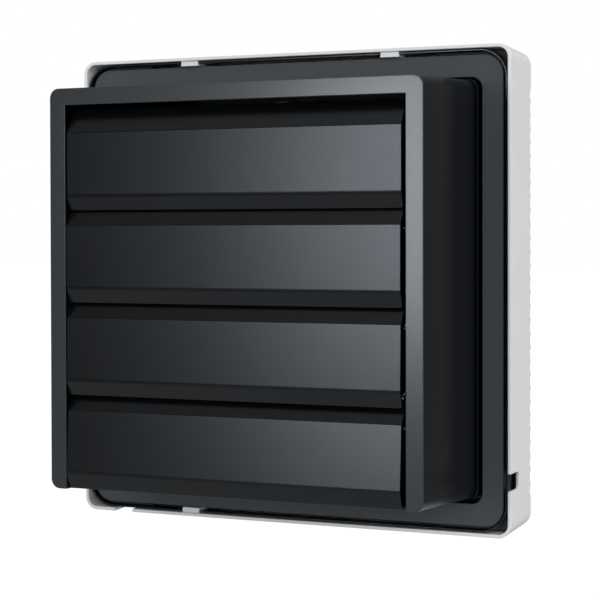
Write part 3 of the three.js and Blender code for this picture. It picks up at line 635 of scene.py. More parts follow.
class Surface(NodeBuilder):
    """The nodes of one material, around its Principled BSDF."""

    MIX_INPUTS = (0, 6, 7)  # a Mix node's factor and its two colours
    MIX_OUTPUT = 2  # its colour

    def __init__(self, name: str) -> None:
        """Starts an empty material."""
        super().__init__(emptied_tree(bpy.data.materials.new(name)))
        self.shader = self.node("ShaderNodeBsdfPrincipled")
        self.node("ShaderNodeOutputMaterial", None, {"Surface": self.shader.outputs["BSDF"]})
        self.place = self.node("ShaderNodeTexCoord").outputs["Object"]

    def set(self, **inputs: Any) -> None:
        """Sets or links the shader's inputs, named with underscores for spaces."""
        for name, value in inputs.items():
            self.feed(self.shader.inputs[name.replace("_", " ")], value)

    def stretched(self, scale: Place) -> bpy.types.NodeSocket:
        """The object coordinates scaled along each axis."""
        inputs = {"Vector": self.place, "Scale": scale}
        return self.node("ShaderNodeMapping", None, inputs).outputs["Vector"]

    def noise(self, size: float, detail: float = 3.0, place: Any = None) -> Signal:
        """Cloudy noise about 0.5.

        Args:
            size: Width of its clouds, in millimetres.
            detail: How many finer layers it has.
            place: Coordinates to read, or the object's own.

        Returns:
            The noise value.
        """
        inputs = {
            "Vector": place if place is not None else self.place,
            "Scale": 1 / (size * MM),
            "Detail": detail,
        }
        return self.signal(self.node("ShaderNodeTexNoise", None, inputs))

    def cells(self, size: float) -> Signal:
        """Distance to the middle of the nearest of many cells of about a size, in millimetres."""
        inputs = {"Vector": self.place, "Scale": 1 / (size * MM)}
        return self.signal(self.node("ShaderNodeTexVoronoi", None, inputs))

    def coordinate(self, axis: Axis) -> Signal:
        """One object coordinate, in metres."""
        node = self.node("ShaderNodeSeparateXYZ", None, {0: self.place})
        return self.signal(node, axis.value)

    def blend(self, first: Colour, second: Colour, factor: Any) -> bpy.types.NodeSocket:
        """A colour between two others, by a factor from 0 to 1."""
        inputs = dict(zip(self.MIX_INPUTS, (factor, (*first, 1.0), (*second, 1.0))))
        return self.node("ShaderNodeMix", {"data_type": "RGBA"}, inputs).outputs[self.MIX_OUTPUT]

    def relief(self, height: Signal, depth: float, strength: float = 1.0) -> bpy.types.NodeSocket:
        """A normal bumped by a height from 0 to 1, with its full depth in millimetres."""
        inputs = {"Height": height, "Distance": depth * MM, "Strength": strength}
        return self.node("ShaderNodeBump", None, inputs).outputs["Normal"]


@dataclass(frozen=True)
class Finish:
    """A surface finish. Each kind builds its own material once."""

    name: str
    slot: str
    colour: Colour
    roughness: float

    def material(self) -> bpy.types.Material:
        """The finish's material, made at its first use."""
        if self.name not in bpy.data.materials:
            self.build(Surface(self.name))
        return bpy.data.materials[self.name]

    def build(self, surface: Surface) -> None:
        """Fills the material's nodes."""
        raise NotImplementedError

    def shade(self, factor: float) -> Colour:
        """The finish's colour made lighter or darker."""
        return (self.colour[0] * factor, self.colour[1] * factor, self.colour[2] * factor)


@dataclass(frozen=True)
class MouldedPlastic(Finish):
    """Injection-moulded plastic with the mould's fine texture and a faint flow pattern."""

    grain_size: float = 0.35
    grain_depth: float = 0.003
    flow_size: float = 45.0
    flow_range: Span = (0.35, 0.65)
    flow_shade: float = 0.9
    roughness_drift: float = 0.012
    sheen: Colour = (1.0, 1.0, 1.0)  # tint of its reflections

    def base(self, surface: Surface) -> Any:
        """The colour over the surface."""
        flow = surface.noise(self.flow_size, 2.0).mapped(*self.flow_range)
        return surface.blend(self.colour, self.shade(self.flow_shade), flow)

    def gloss(self, surface: Surface) -> Any:
        """The roughness over the surface."""
        wipe = surface.noise(self.flow_size / 3, 4.0)
        return self.roughness + self.roughness_drift * (wipe - 0.5) * 2

    def build(self, surface: Surface) -> None:
        """Fills the material's nodes."""
        surface.set(
            Base_Color=self.base(surface),
            Roughness=self.gloss(surface),
            Specular_Tint=(*self.sheen, 1.0),
            Normal=surface.relief(surface.noise(self.grain_size, 2.0), self.grain_depth),
        )


@dataclass(frozen=True)
class LitFaceShadedWallPlastic(MouldedPlastic):
    """Black plastic whose outdoor faces are painted paler, as lit, and whose walls are painted
    darker, as shaded; the faces also have a gloss of their own.
    """

    # colour painted on the outdoor faces, paler than the walls, as where light falls
    painted_lit_face_colour: Colour = (0.03, 0.03, 0.03)
    face_roughness: float = 0.22
    face_depth: Span = (83.9, 84.3)
    ledges: tuple[float, ...] = ()  # depths of the lower faces that are painted paler in the same way
    ledge_reach: Span = (0.1, 0.25)  # from a ledge's depth, over which its look fades

    def faced(self, surface: Surface) -> Signal:
        """1 on the outdoor faces and 0 on the walls: where the painted light and the faces' own
        gloss go.
        """
        low, high = self.face_depth
        near, far = self.ledge_reach
        depth = surface.coordinate(Axis.Y)
        faced = depth.mapped(low * MM, high * MM)
        for ledge in self.ledges:
            away = (depth - ledge * MM).function("ABSOLUTE")
            faced = faced + away.mapped(near * MM, far * MM, 1.0, 0.0)
        return faced

    def base(self, surface: Surface) -> Any:
        """The colour over the surface: painted light on the outdoor faces, painted shade on the
        walls.
        """
        return surface.blend(self.colour, self.painted_lit_face_colour, self.faced(surface))

    def gloss(self, surface: Surface) -> Any:
        """The roughness over the surface."""
        wall = super().gloss(surface)
        return wall + (self.face_roughness - wall) * self.faced(surface)


@dataclass(frozen=True)
class PlatedSteel(Finish):
    """Pressed or turned steel with a zinc coat, faintly clouded and drawn."""

    cloud_size: float = 6.0
    cloud_range: Span = (0.3, 0.7)
    cloud_shade: float = 0.8
    cloud_drift: float = 0.16  # of the roughness
    draw: Place = (1.0, 1.0, 12.0)
    grain_size: float = 0.8
    grain_drift: float = 0.1  # of the roughness
    grain_depth: float = 0.01
    grain_strength: float = 0.6

    def build(self, surface: Surface) -> None:
        """Fills the material's nodes."""
        clouds = surface.noise(self.cloud_size, 3.0).mapped(*self.cloud_range)
        drawn = surface.noise(self.grain_size, 2.0, surface.stretched(self.draw))
        drift = self.cloud_drift * (clouds - 0.5)
        surface.set(
            Base_Color=surface.blend(self.colour, self.shade(self.cloud_shade), clouds),
            Metallic=1.0,
            Roughness=self.roughness + drift + self.grain_drift * (drawn - 0.5),
            Normal=surface.relief(drawn, self.grain_depth, self.grain_strength),
        )


@dataclass(frozen=True)
class SheetStack(Finish):
    """The edges of stacked steel sheets, which lie across the fan's axis."""

    sheet: float = 0.5
    groove_depth: float = 0.08
    rust_size: float = 3.0
    rust_range: Span = (0.5, 0.75)
    rust_shade: float = 0.55
    rust_drift: float = 0.2  # of the roughness

    def build(self, surface: Surface) -> None:
        """Fills the material's nodes."""
        layers = surface.coordinate(Axis.Y) / (self.sheet * MM)
        groove = layers.function("FRACT").function("SUBTRACT", 0.5).function("ABSOLUTE") * 2
        rust = surface.noise(self.rust_size, 4.0).mapped(*self.rust_range)
        surface.set(
            Base_Color=surface.blend(self.colour, self.shade(self.rust_shade), rust),
            Metallic=1.0,
            Roughness=self.roughness + self.rust_drift * rust,
            Normal=surface.relief(groove, self.groove_depth),
        )


@dataclass(frozen=True)
class SinteredBronze(Finish):
    """Porous bearing bronze, dark where it holds oil."""

    metallic: float = 0.9
    pore: float = 0.25
    pore_range: Span = (0.1, 0.45)
    pore_shade: float = 0.4
    pore_depth: float = 0.03
    polish: float = 0.15  # how much smoother it is between the pores

    def build(self, surface: Surface) -> None:
        """Fills the material's nodes."""
        pores = surface.cells(self.pore).mapped(*self.pore_range)
        surface.set(
            Base_Color=surface.blend(self.shade(self.pore_shade), self.colour, pores),
            Metallic=self.metallic,
            Roughness=self.roughness - self.polish * pores,
            Normal=surface.relief(pores, self.pore_depth),
        )


@dataclass(frozen=True)
class Rubber(Finish):
    """Matt moulded rubber with a dusty bloom."""

    bloom_size: float = 4.0
    bloom_range: Span = (0.4, 0.75)
    bloom_shade: float = 2.2
    bloom_drift: float = 0.08  # of the roughness
    grain_size: float = 0.3
    grain_depth: float = 0.02

    def build(self, surface: Surface) -> None:
        """Fills the material's nodes."""
        bloom = surface.noise(self.bloom_size, 4.0).mapped(*self.bloom_range)
        surface.set(
            Base_Color=surface.blend(self.colour, self.shade(self.bloom_shade), bloom),
            Roughness=self.roughness + self.bloom_drift * bloom,
            Normal=surface.relief(surface.noise(self.grain_size, 2.0), self.grain_depth),
        )


@dataclass(frozen=True)
class BraidedSleeve(Finish):
    """Varnished glass sleeving with a fine braid."""

    strand: float = 0.7
    strand_shade: float = 0.75  # between the strands
    strand_polish: float = 0.1
    strand_depth: float = 0.12

    def build(self, surface: Surface) -> None:
        """Fills the material's nodes."""
        x, y, z = (surface.coordinate(axis) for axis in Axis)
        turns = math.tau / (self.strand * MM)
        braid = ((x + z + y) * turns).function("SINE") * ((x - z + y) * turns).function("SINE")
        height = braid * 0.5 + 0.5
        surface.set(
            Base_Color=surface.blend(self.shade(self.strand_shade), self.colour, height),
            Roughness=self.roughness - self.strand_polish * height,
            Normal=surface.relief(height, self.strand_depth),
        )


# a blue tint painted into the flaps' reflections, standing in for bluish light
PAINTED_BLUE_SHEEN = (0.93, 1.0, 1.07)
# The duct's walls are painted near-black as shaded, and its frame's outdoor face paler as lit.
DUCT_PLASTIC = LitFaceShadedWallPlastic(
    "duct_plastic",
    "black_plastic",
    (0.0012, 0.0022, 0.004),
    0.28,
    painted_lit_face_colour=(0.039, 0.0465, 0.051),
    face_roughness=0.215,
)
FLAP_PLASTIC = MouldedPlastic(
    "flap_plastic", "black_plastic", (0.0022, 0.0026, 0.0032), 0.264, sheen=PAINTED_BLUE_SHEEN
)
# The flange's walls are painted dark as shaded; its outdoor face and the corner plates' ledge are
# painted paler as lit.
FLANGE_PLASTIC = LitFaceShadedWallPlastic(
    "flange_plastic",
    "black_plastic",
    (0.02, 0.022, 0.025),
    0.5,
    painted_lit_face_colour=(0.0685, 0.0785, 0.085),
    face_roughness=0.72,
    face_depth=(-0.4, -0.1),
    ledges=(-6.0,),
)
RIM_PLASTIC = MouldedPlastic("rim_plastic", "black_plastic", (0.0042, 0.0047, 0.0055), 0.27)
FAN_PLASTIC = MouldedPlastic("fan_plastic", "black_plastic", (0.022, 0.0235, 0.026), 0.42)
PANEL_PLASTIC = MouldedPlastic(
    "panel_plastic", "white_plastic", (0.875, 0.885, 0.9), 0.38, flow_shade=0.98
)
CREAM_PLASTIC = MouldedPlastic(
    "cream_plastic", "cream_plastic", (0.69, 0.64, 0.52), 0.5, flow_shade=0.95
)
COMPONENT_PLASTIC = MouldedPlastic(
    "component_plastic", "component_plastic", (0.74, 0.74, 0.72), 0.5, flow_shade=0.95
)
ZINC_PLATE = PlatedSteel("zinc_plate", "zinc_plate", (0.48, 0.49, 0.48), 0.42)
ZINC_SCREW = PlatedSteel("zinc_screw", "zinc_screws", (0.5, 0.5, 0.49), 0.36, cloud_size=2.0)
BRACKET_STEEL = PlatedSteel("bracket_steel", "bracket_steel", (0.33, 0.34, 0.35), 0.45)
SHAFT_STEEL = PlatedSteel(
    "shaft_steel", "shaft_steel", (0.42, 0.43, 0.44), 0.28, draw=(1.0, 14.0, 1.0)
)
LAMINATIONS = SheetStack("lamination_stack", "laminations", (0.1, 0.105, 0.115), 0.5)
BEARING_BRONZE = SinteredBronze("bearing_bronze", "bronze", (0.33, 0.17, 0.05), 0.55)
GROMMET_RUBBER = Rubber("grommet_rubber", "black_rubber", (0.05, 0.052, 0.054), 0.75)
LEAD_SLEEVE = BraidedSleeve("braided_sleeve", "lead_sleeve", (0.5, 0.5, 0.48), 0.5)

CAD_FINISHES: dict[str, Finish] = {
    "black_plastic": FAN_PLASTIC,
    "white_plastic": PANEL_PLASTIC,
    "cream_plastic": CREAM_PLASTIC,
    "component_plastic": COMPONENT_PLASTIC,
    "zinc_plate": ZINC_PLATE,
    "zinc_screws": ZINC_SCREW,
    "bracket_steel": BRACKET_STEEL,
    "shaft_steel": SHAFT_STEEL,
    "laminations": LAMINATIONS,
    "bronze": BEARING_BRONZE,
    "black_rubber": GROMMET_RUBBER,
    "lead_sleeve": LEAD_SLEEVE,
}


def dress(mesh: bpy.types.Mesh, finish: Finish) -> None:
    """Gives a mesh one finish and no other."""
    mesh.materials.clear()
    mesh.materials.append(finish.material())


def dress_cad_nodes() -> None:
    """Gives every CAD node the procedural finish of its material slot."""
    for row in frame["record"]["subparts"]:
        dress(frame["nodes"][row["node"]].data, CAD_FINISHES[row["material_slot"]])


# ------------------------------------------------------------------------------- finished pieces
def place_piece(
    solid: Solid,
    name: str,
    body: str,
    finish: Finish,
    nodes: Sequence[str],
    edge: Edge,
    pattern: Pattern | None = None,
) -> None:
    """Makes a solid into a finished piece that stands for CAD nodes and rides on their body.

    Args:
        solid: The shape, in millimetres.
        name: The piece's name.
        body: The body that it moves with.
        finish: Its surface.
        nodes: The CAD nodes that it replaces, if any.
        edge: How its sharp edges are rounded.
        pattern: How it is repeated, if it is.
    """
    holder = new_object("work", clean_mesh(solid, edge.seams))
    if pattern:
        pattern.fit(holder, finish.material())
    mesh = edge.round(holder)
    mesh.name = name
    piece = new_object(name, mesh)
    dress(mesh, finish)
    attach(piece, body)
    if nodes:
        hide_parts(*nodes)
    LOG.info("%s: %d faces on %s", name, len(mesh.polygons), body)


# ------------------------------------------------------------------------------ rounded-square work
@dataclass(frozen=True)
class SquareRing:
    """One ring of a hollow square form with round corners."""

    half: float
    y: float
    corner: float
    rise: float = 0.0

    def points(self) -> list[Place]:
        """The ring's points."""
        outline = rounded_rectangle(2 * self.half, 2 * self.half, self.corner)
        return [(x, self.y, z + self.rise) for x, z in outline]


def screw_hole(radius: float, span: Span, at: Point) -> Solid:
    """A tool along Y that bores a small hole."""
    return Solid.rod(radius, span, at=at, steps=SMALL_STEPS)


def square_plate(size: float, corner: float, span: Span) -> Solid:
    """A square plate with round corners about the fan's axis."""
    return Solid.prism(rounded_rectangle(size, size, corner), span)


def square_tube(rings: Sequence[SquareRing], closed: bool = True) -> Solid:
    """A solid through square rings, closed into a tube or capped at its ends."""
    return Solid.loft([ring.points() for ring in rings], closed)


# --------------------------------------------------------------------------------------- louvre box
@dataclass
class LouvreBox:
    """The duct through the wall, with its outdoor frame, flap bearings and screw ears."""

    size: float = 250.0
    depth: float = 84.5
    draft: float = 2.65
    wall: float = 2.5
    corner: float = 6.0
    rise: float = 0.85
    side_bar: float = 11.0
    top_bar: float = 10.5
    bar_depth: float = 3.0
    sill_setback: float = 6.5
    ear_radius: float = 4.0
    ear_length: float = 13.0
    ear_spread: float = 60.0
    boss_radius: float = 4.0
    boss_length: float = 5.0
    bead_height: float = 0.9
    bead_width: float = 1.6
    rounding: Edge = Edge(0.45, 3)

    @property
    def half(self) -> float:
        """Half the outer width at the outdoor edge."""
        return self.size / 2

    @property
    def opening_half(self) -> float:
        """Half the width between the side bars."""
        return self.half - self.side_bar

    @property
    def opening_top(self) -> float:
        """Height of the top bar's lower edge."""
        return self.rise + self.half - self.top_bar

    @property
    def inner_half(self) -> float:
        """Half the width between the walls at the outdoor edge."""
        return self.half - self.wall

    def half_at(self, y: float) -> float:
        """Half the outer width at a depth."""
        return self.half + self.draft * (self.depth - y) / self.depth

    def ring(self, y: float, inset: float) -> SquareRing:
        """The box's outline at a depth, inset from its outer face."""
        return SquareRing(self.half_at(y) - inset, y, self.corner - inset, self.rise)

    def shell(self, back: float) -> Solid:
        """The tapered walls with the outdoor frame's three bars."""
        outer = square_tube([self.ring(back, 0), self.ring(self.depth, 0)], closed=False)
        inside = square_tube(
            [self.ring(back - 1, self.wall), self.ring(self.depth - self.bar_depth, self.wall)],
            closed=False,
        )
        opening = Solid.box(
            (-self.opening_half, self.opening_half),
            (self.depth - self.sill_setback, self.depth + 1),
            (self.rise - self.half - 1, self.opening_top),
        )
        return outer.cut([inside, opening])

    def foot_bead(self) -> Solid:
        """The low bead round the foot of the box, just outside the flange."""
        low, high = -self.bead_width / 2, self.bead_width / 2
        return square_tube(
            [
                self.ring(low, self.wall / 2),
                self.ring(low, 0),
                self.ring(0, -self.bead_height),
                self.ring(high, -self.bead_height),
                self.ring(high + self.bead_height, 0),
                self.ring(high + self.bead_height, self.wall / 2),
            ]
        )

    def ears(self, back: float, reach: float) -> list[Solid]:
        """The screw ears in the channel, left and right of the box."""
        span = (back, back + self.ear_length)
        solids = []
        half = self.ear_radius / 2
        for side in Side:
            web = side.outwards(self.half + self.draft - self.wall / 2, reach)
            for z in (-self.ear_spread, self.ear_spread):
                solids.append(Solid.rod(self.ear_radius, span, at=(side.value * reach, z)))
                solids.append(Solid.box(web, span, (z - half, z + half)))
        return solids

    def bearings(self, flaps: "LouvreFlaps") -> tuple[list[Solid], list[Solid]]:
        """The flaps' bearing bosses and the bores in them."""
        bosses, bores = [], []
        face = self.inner_half - self.boss_length
        for z in flaps.pivot_heights(self):
            at = (flaps.pivot_y(self), z)
            for side in Side:
                boss = side.outwards(face, self.half - self.wall / 2)
                bosses.append(Solid.rod(self.boss_radius, boss, Axis.X, at))
                bore = side.outwards(face - 1, self.inner_half)
                bores.append(Solid.rod(flaps.pin_radius + FIT, bore, Axis.X, at, PIVOT_STEPS))
        return bosses, bores

    def build(self, housing: "Housing", flaps: "LouvreFlaps", cable: "CableEntry") -> None:
        """Makes the box and hangs its finish on it."""
        bosses, bores = self.bearings(flaps)
        ears = self.ears(housing.back, housing.channel_middle(self))
        body = self.shell(housing.back).joined([self.foot_bead(), *ears, *bosses]).cut(bores)
        wall = through((-self.half_at(cable.y), self.wall - self.half))
        body = body - Solid.rod(cable.radius + FIT, wall, Axis.X, (cable.y, cable.z))
        place_piece(body, "duct", "casing", DUCT_PLASTIC, ["louvre_box"], self.rounding)


@dataclass
class LouvreFlaps:
    """The four gravity flaps, each a bent blade with end cheeks and two pins."""

    count: int = 4
    play: float = 3.6
    floats: tuple[float, ...] = (0.9, 1.5, 1.5, 1.5)
    leans: tuple[float, ...] = (0.0, 0.0, 1.3, 3.3)  # each face's lean up, in degrees
    recess: float = 0.6
    wall: float = 1.8
    top_gap: float = 17.3
    tail_show: float = 9.4
    tail_height: float = 15.0
    tail_depth: float = 8.4
    band_height: float = 3.5
    lip_height: float = 7.3
    lip_angle: float = 20.5
    lip_corner: float = 2.0
    sill_gap: float = 1.2
    cheek_depth: float = 9.5
    cheek_thickness: float = 2.0
    cheek_rise: float = 18.5  # behind the tail, where light would show past its ends
    tail_cheek_depth: float = 14.0
    pivot_inset: float = 4.6
    pivot_drop: float = 2.2
    pin_radius: float = 1.5
    pin_boss_radius: float = 3.0
    pin_end_clearance: float = 0.4
    band_steps: int = 8
    rounding: Edge = Edge(0.3, 3, 28.0, seams=(-90.0, -30.0, 30.0, 90.0))

    def pitch(self, box: LouvreBox) -> float:
        """Height from one flap to the next."""
        covered = box.size - box.top_bar - self.top_gap + self.tail_show - self.sill_gap
        return covered / self.count

    def top(self, box: LouvreBox, index: int) -> float:
        """Height of the top of a flap's face."""
        return box.opening_top - self.top_gap - index * self.pitch(box)

    def pivot_y(self, box: LouvreBox) -> float:
        """Depth of the pivots."""
        return box.depth - self.recess - self.pivot_inset

    def pivot_heights(self, box: LouvreBox) -> list[float]:
        """Height of each flap's pivots."""
        return [self.top(box, index) - self.pivot_drop for index in range(self.count)]

    def profile(self, height: float) -> list[Point]:
        """The outer line of a flap's section, from its tail down to its lip, in y and z."""
        face = height - self.band_height - self.lip_height
        slope = math.radians(self.lip_angle)
        turn = self.band_height / math.sin(slope)
        line = [(-self.tail_depth, self.tail_height), (0.0, 0.0), (0.0, -face)]
        for step in range(1, self.band_steps + 1):
            angle = slope * step / self.band_steps
            line.append((turn * (math.cos(angle) - 1), -face - turn * math.sin(angle)))
        line.append((line[-1][0] - self.lip_height * math.tan(slope), -height))
        return line

    def thickened(self, line: Sequence[Point]) -> list[Point]:
        """A closed section from the outer line and the wall behind it."""
        points = [Vector(point) for point in line]
        normals = []
        for first, second in zip(points, points[1:]):
            along = (second - first).normalized()
            normals.append(Vector((along.y, -along.x)))
        inner = []
        for index, point in enumerate(points):
            before = normals[max(index - 1, 0)]
            after = normals[min(index, len(normals) - 1)]
            mitre = before + after
            inner.append(point + mitre * (2 * self.wall / mitre.length_squared))
        return [tuple(point) for point in [*points, *reversed(inner)]]

    def front_view(self, half: float, height: float) -> list[Point]:
        """The flap's outline from the front, with its lip's corners rounded, in x and z."""
        r = self.lip_corner
        top = self.tail_height + 1
        left = arc((r - half, r - height), r, 180, 270, CORNER_STEPS)
        right = arc((half - r, r - height), r, 270, 360, CORNER_STEPS)
        return [(-half, top), *left, *right, (half, top)]

    def cheek(self, height: float) -> list[Point]:
        """The outline of an end cheek, in y and z."""
        face = height - self.band_height - self.lip_height
        lip = -face - self.band_height
        rise = self.cheek_rise
        tail = -self.tail_depth * rise / self.tail_height
        return [
            (-self.wall / 2, 0.0),
            (-self.wall / 2, -face),
            (-self.wall, lip),
            (-self.cheek_depth, lip + self.wall),
            (-self.cheek_depth, 0.0),
            (-self.tail_cheek_depth, 0.0),
            (-self.tail_cheek_depth, rise),
            (tail - self.wall / 2, rise),
        ]

    def flap(self, box: LouvreBox, lean: float) -> Solid:
        """One flap about the top of its face, with a lean in degrees."""
        height = self.pitch(box) - self.tail_show
        half = box.opening_half - self.play / 2
        tip = box.inner_half - max(self.floats) - self.pin_end_clearance
        blade = Solid.prism(self.thickened(self.profile(height)), (-half, half), Axis.X)
        blade = blade & Solid.prism(self.front_view(half, height), (-2 * self.cheek_depth, 1))
        face = half - self.wall / 2
        root = half - 2 * self.cheek_thickness
        at = (-self.pivot_inset, -self.pivot_drop)
        pins = []
        for side in Side:
            cheek = side.outwards(face - self.cheek_thickness, face)
            blade = blade + Solid.prism(self.cheek(height), cheek, Axis.X)
            boss, pin = side.outwards(root, face), side.outwards(root, tip)
            pins.append(Solid.rod(self.pin_boss_radius, boss, Axis.X, at, PIVOT_STEPS))
            pins.append(Solid.rod(self.pin_radius, pin, Axis.X, at, SMALL_STEPS))
        return blade.tilted(lean, 0.0, -height / 2).joined(pins)

    def build(self, box: LouvreBox) -> None:
        """Makes the four flaps, each on its own body."""
        for index in range(self.count):
            x, y, z = self.floats[index], box.depth - self.recess, self.top(box, index)
            number = index + 1
            place_piece(
                self.flap(box, self.leans[index]).moved(x, y, z),
                f"flap_blade_{number}",
                f"flap_{number}",
                FLAP_PLASTIC,
                [f"louvre_flap_{number}"],
                self.rounding,
            )


# ------------------------------------------------------------------------------------------ housing
@dataclass
class CableEntry:
    """The way of the supply cable through the fan's side."""

    radius: float = 4.0
    wall: float = 1.6
    flange: float = 1.5
    clearance: float = 0.5
    y: float = -10.4
    z: float = -115.908

    @property
    def outer(self) -> float:
        """Radius of the grommet's neck."""
        return self.radius + self.wall


@dataclass
class Housing:
    """The mounting flange with its skirt, corner plates and screw posts."""

    size: float = 288.0
    thickness: float = 3.0
    corner: float = 12.0
    gap: float = 2.8
    hole_corner: float = 7.0
    depth: float = 25.5
    skirt_inset: float = 2.0
    skirt_wall: float = 2.5
    plate_reach: float = 4.417
    plate_span: float = 40.0
    plate_depth: float = 8.0
    plate_thickness: float = 2.0
    rib_inset: float = 0.8
    rib_width: float = 1.2
    rib_height: float = 3.4
    rib_corner: float = 15.0
    rim_reach: float = 3.2  # of the thin outer rim beyond the flange's edge
    rim_width: float = 1.1
    rim_rise: float = 2.3  # above the flange's face
    rim_corner: float = 17.5
    rim_gap: float = 1.0  # between the rim and what passes through it
    post_radius: float = 4.0
    post_spread: float = 90.0
    screw_bore: float = 1.7
    screw_length: float = 14.0
    rounding: Edge = Edge(0.4, 3)
    rim_rounding: Edge = Edge(0.25, 3)

    @property
    def back(self) -> float:
        """Depth of the housing's open room side."""
        return -self.depth

    @property
    def skirt_half(self) -> float:
        """Half the skirt's outer width."""
        return self.size / 2 - self.skirt_inset

    def channel_middle(self, box: LouvreBox) -> float:
        """Distance from the axis to the middle of the channel round the box."""
        return (box.half + box.draft + self.skirt_half - self.skirt_wall) / 2

    def corner_plates(self, cable: CableEntry) -> Solid:
        """The ribbed plates that fill the panel's corners, open round the grommet."""
        reach = 2 * (self.skirt_half + self.plate_reach)
        plate = (-self.plate_depth, self.plate_thickness - self.plate_depth)
        rib = (-self.plate_depth, plate[1] + self.rib_height)
        outer = reach - 2 * self.rib_inset
        inner = outer - 2 * self.rib_width
        ring = square_plate(reach, self.corner / 2, plate)
        ring = (ring + square_plate(outer, self.rib_corner, rib)).cut(
            [
                square_plate(inner, self.rib_corner - self.rib_width, (plate[1], rib[1] + 1)),
                square_plate(
                    2 * self.skirt_half - self.skirt_wall,
                    self.corner - self.skirt_inset - self.skirt_wall / 2,
                    through(rib),
                ),
            ]
        )
        clear = self.skirt_half - self.plate_span
        room = cable.outer + cable.flange + cable.clearance
        middle, whole, depth = (-clear, clear), (-reach, reach), through(rib)
        way = (cable.z - room, cable.z + room)
        return ring.cut(
            [
                Solid.box(middle, depth, whole),
                Solid.box(whole, depth, middle),
                Solid.box((-reach, -self.skirt_half), depth, way),
            ]
        )

    def rim(self, cable: CableEntry, panel: "FrontPanel") -> Solid:
        """The thin rim round the flange, open at the panel's hooks and at the cable's way."""
        span = (-self.plate_depth, self.rim_rise)
        half = self.size / 2 + self.rim_reach
        outer = square_plate(2 * half, self.rim_corner, span)
        inner = square_plate(
            2 * (half - self.rim_width), self.rim_corner - self.rim_width, through(span)
        )
        room = panel.hook_width / 2 + self.rim_gap
        edge = self.size / 2
        above, below = (edge, 2 * edge), (-2 * edge, -edge)
        ways = []
        for x, side in panel.hook_places:
            z = above if side > 0 else below
            ways.append(Solid.box((x - room, x + room), through(span), z))
        notch = panel.notch_width / 2 + self.rim_gap
        depth = (span[0] - 1, cable.y + cable.outer)
        ways.append(Solid.box(below, depth, (cable.z - notch, cable.z + notch)))
        return (outer - inner).cut(ways)

    def build(self, box: LouvreBox, cable: CableEntry, panel: "FrontPanel") -> None:
        """Makes the housing."""
        rim = self.rim(cable, panel)
        place_piece(rim, "flange_rim", "casing", RIM_PLASTIC, [], self.rim_rounding)
        flange = (-self.thickness, 0.0)
        skirt_corner = self.corner - self.skirt_inset
        depth = (self.back, -self.thickness / 2)
        bore = (self.back - 1, self.back + self.screw_length)
        skirt = square_plate(2 * self.skirt_half, skirt_corner, depth) - square_plate(
            2 * (self.skirt_half - self.skirt_wall),
            skirt_corner - self.skirt_wall,
            (self.back - 1, -self.thickness),
        )
        hole = 2 * (box.half + box.draft + self.gap)
        body = square_plate(self.size, self.corner, flange)
        body = body.joined([skirt, self.corner_plates(cable)])
        body = body - square_plate(hole, self.hole_corner, through(flange))
        reach = self.channel_middle(box)
        for x in (-self.post_spread, self.post_spread):
            for z in (-reach, reach):
                body = body + Solid.rod(self.post_radius, depth, at=(x, z))
                body = body - screw_hole(self.screw_bore, bore, (x, z))
        wall = through((-self.skirt_half, self.skirt_wall - self.skirt_half))
        body = body - Solid.rod(cable.outer + FIT, wall, Axis.X, (cable.y, cable.z))
        place_piece(body, "flange_housing", "casing", FLANGE_PLASTIC, ["housing"], self.rounding)


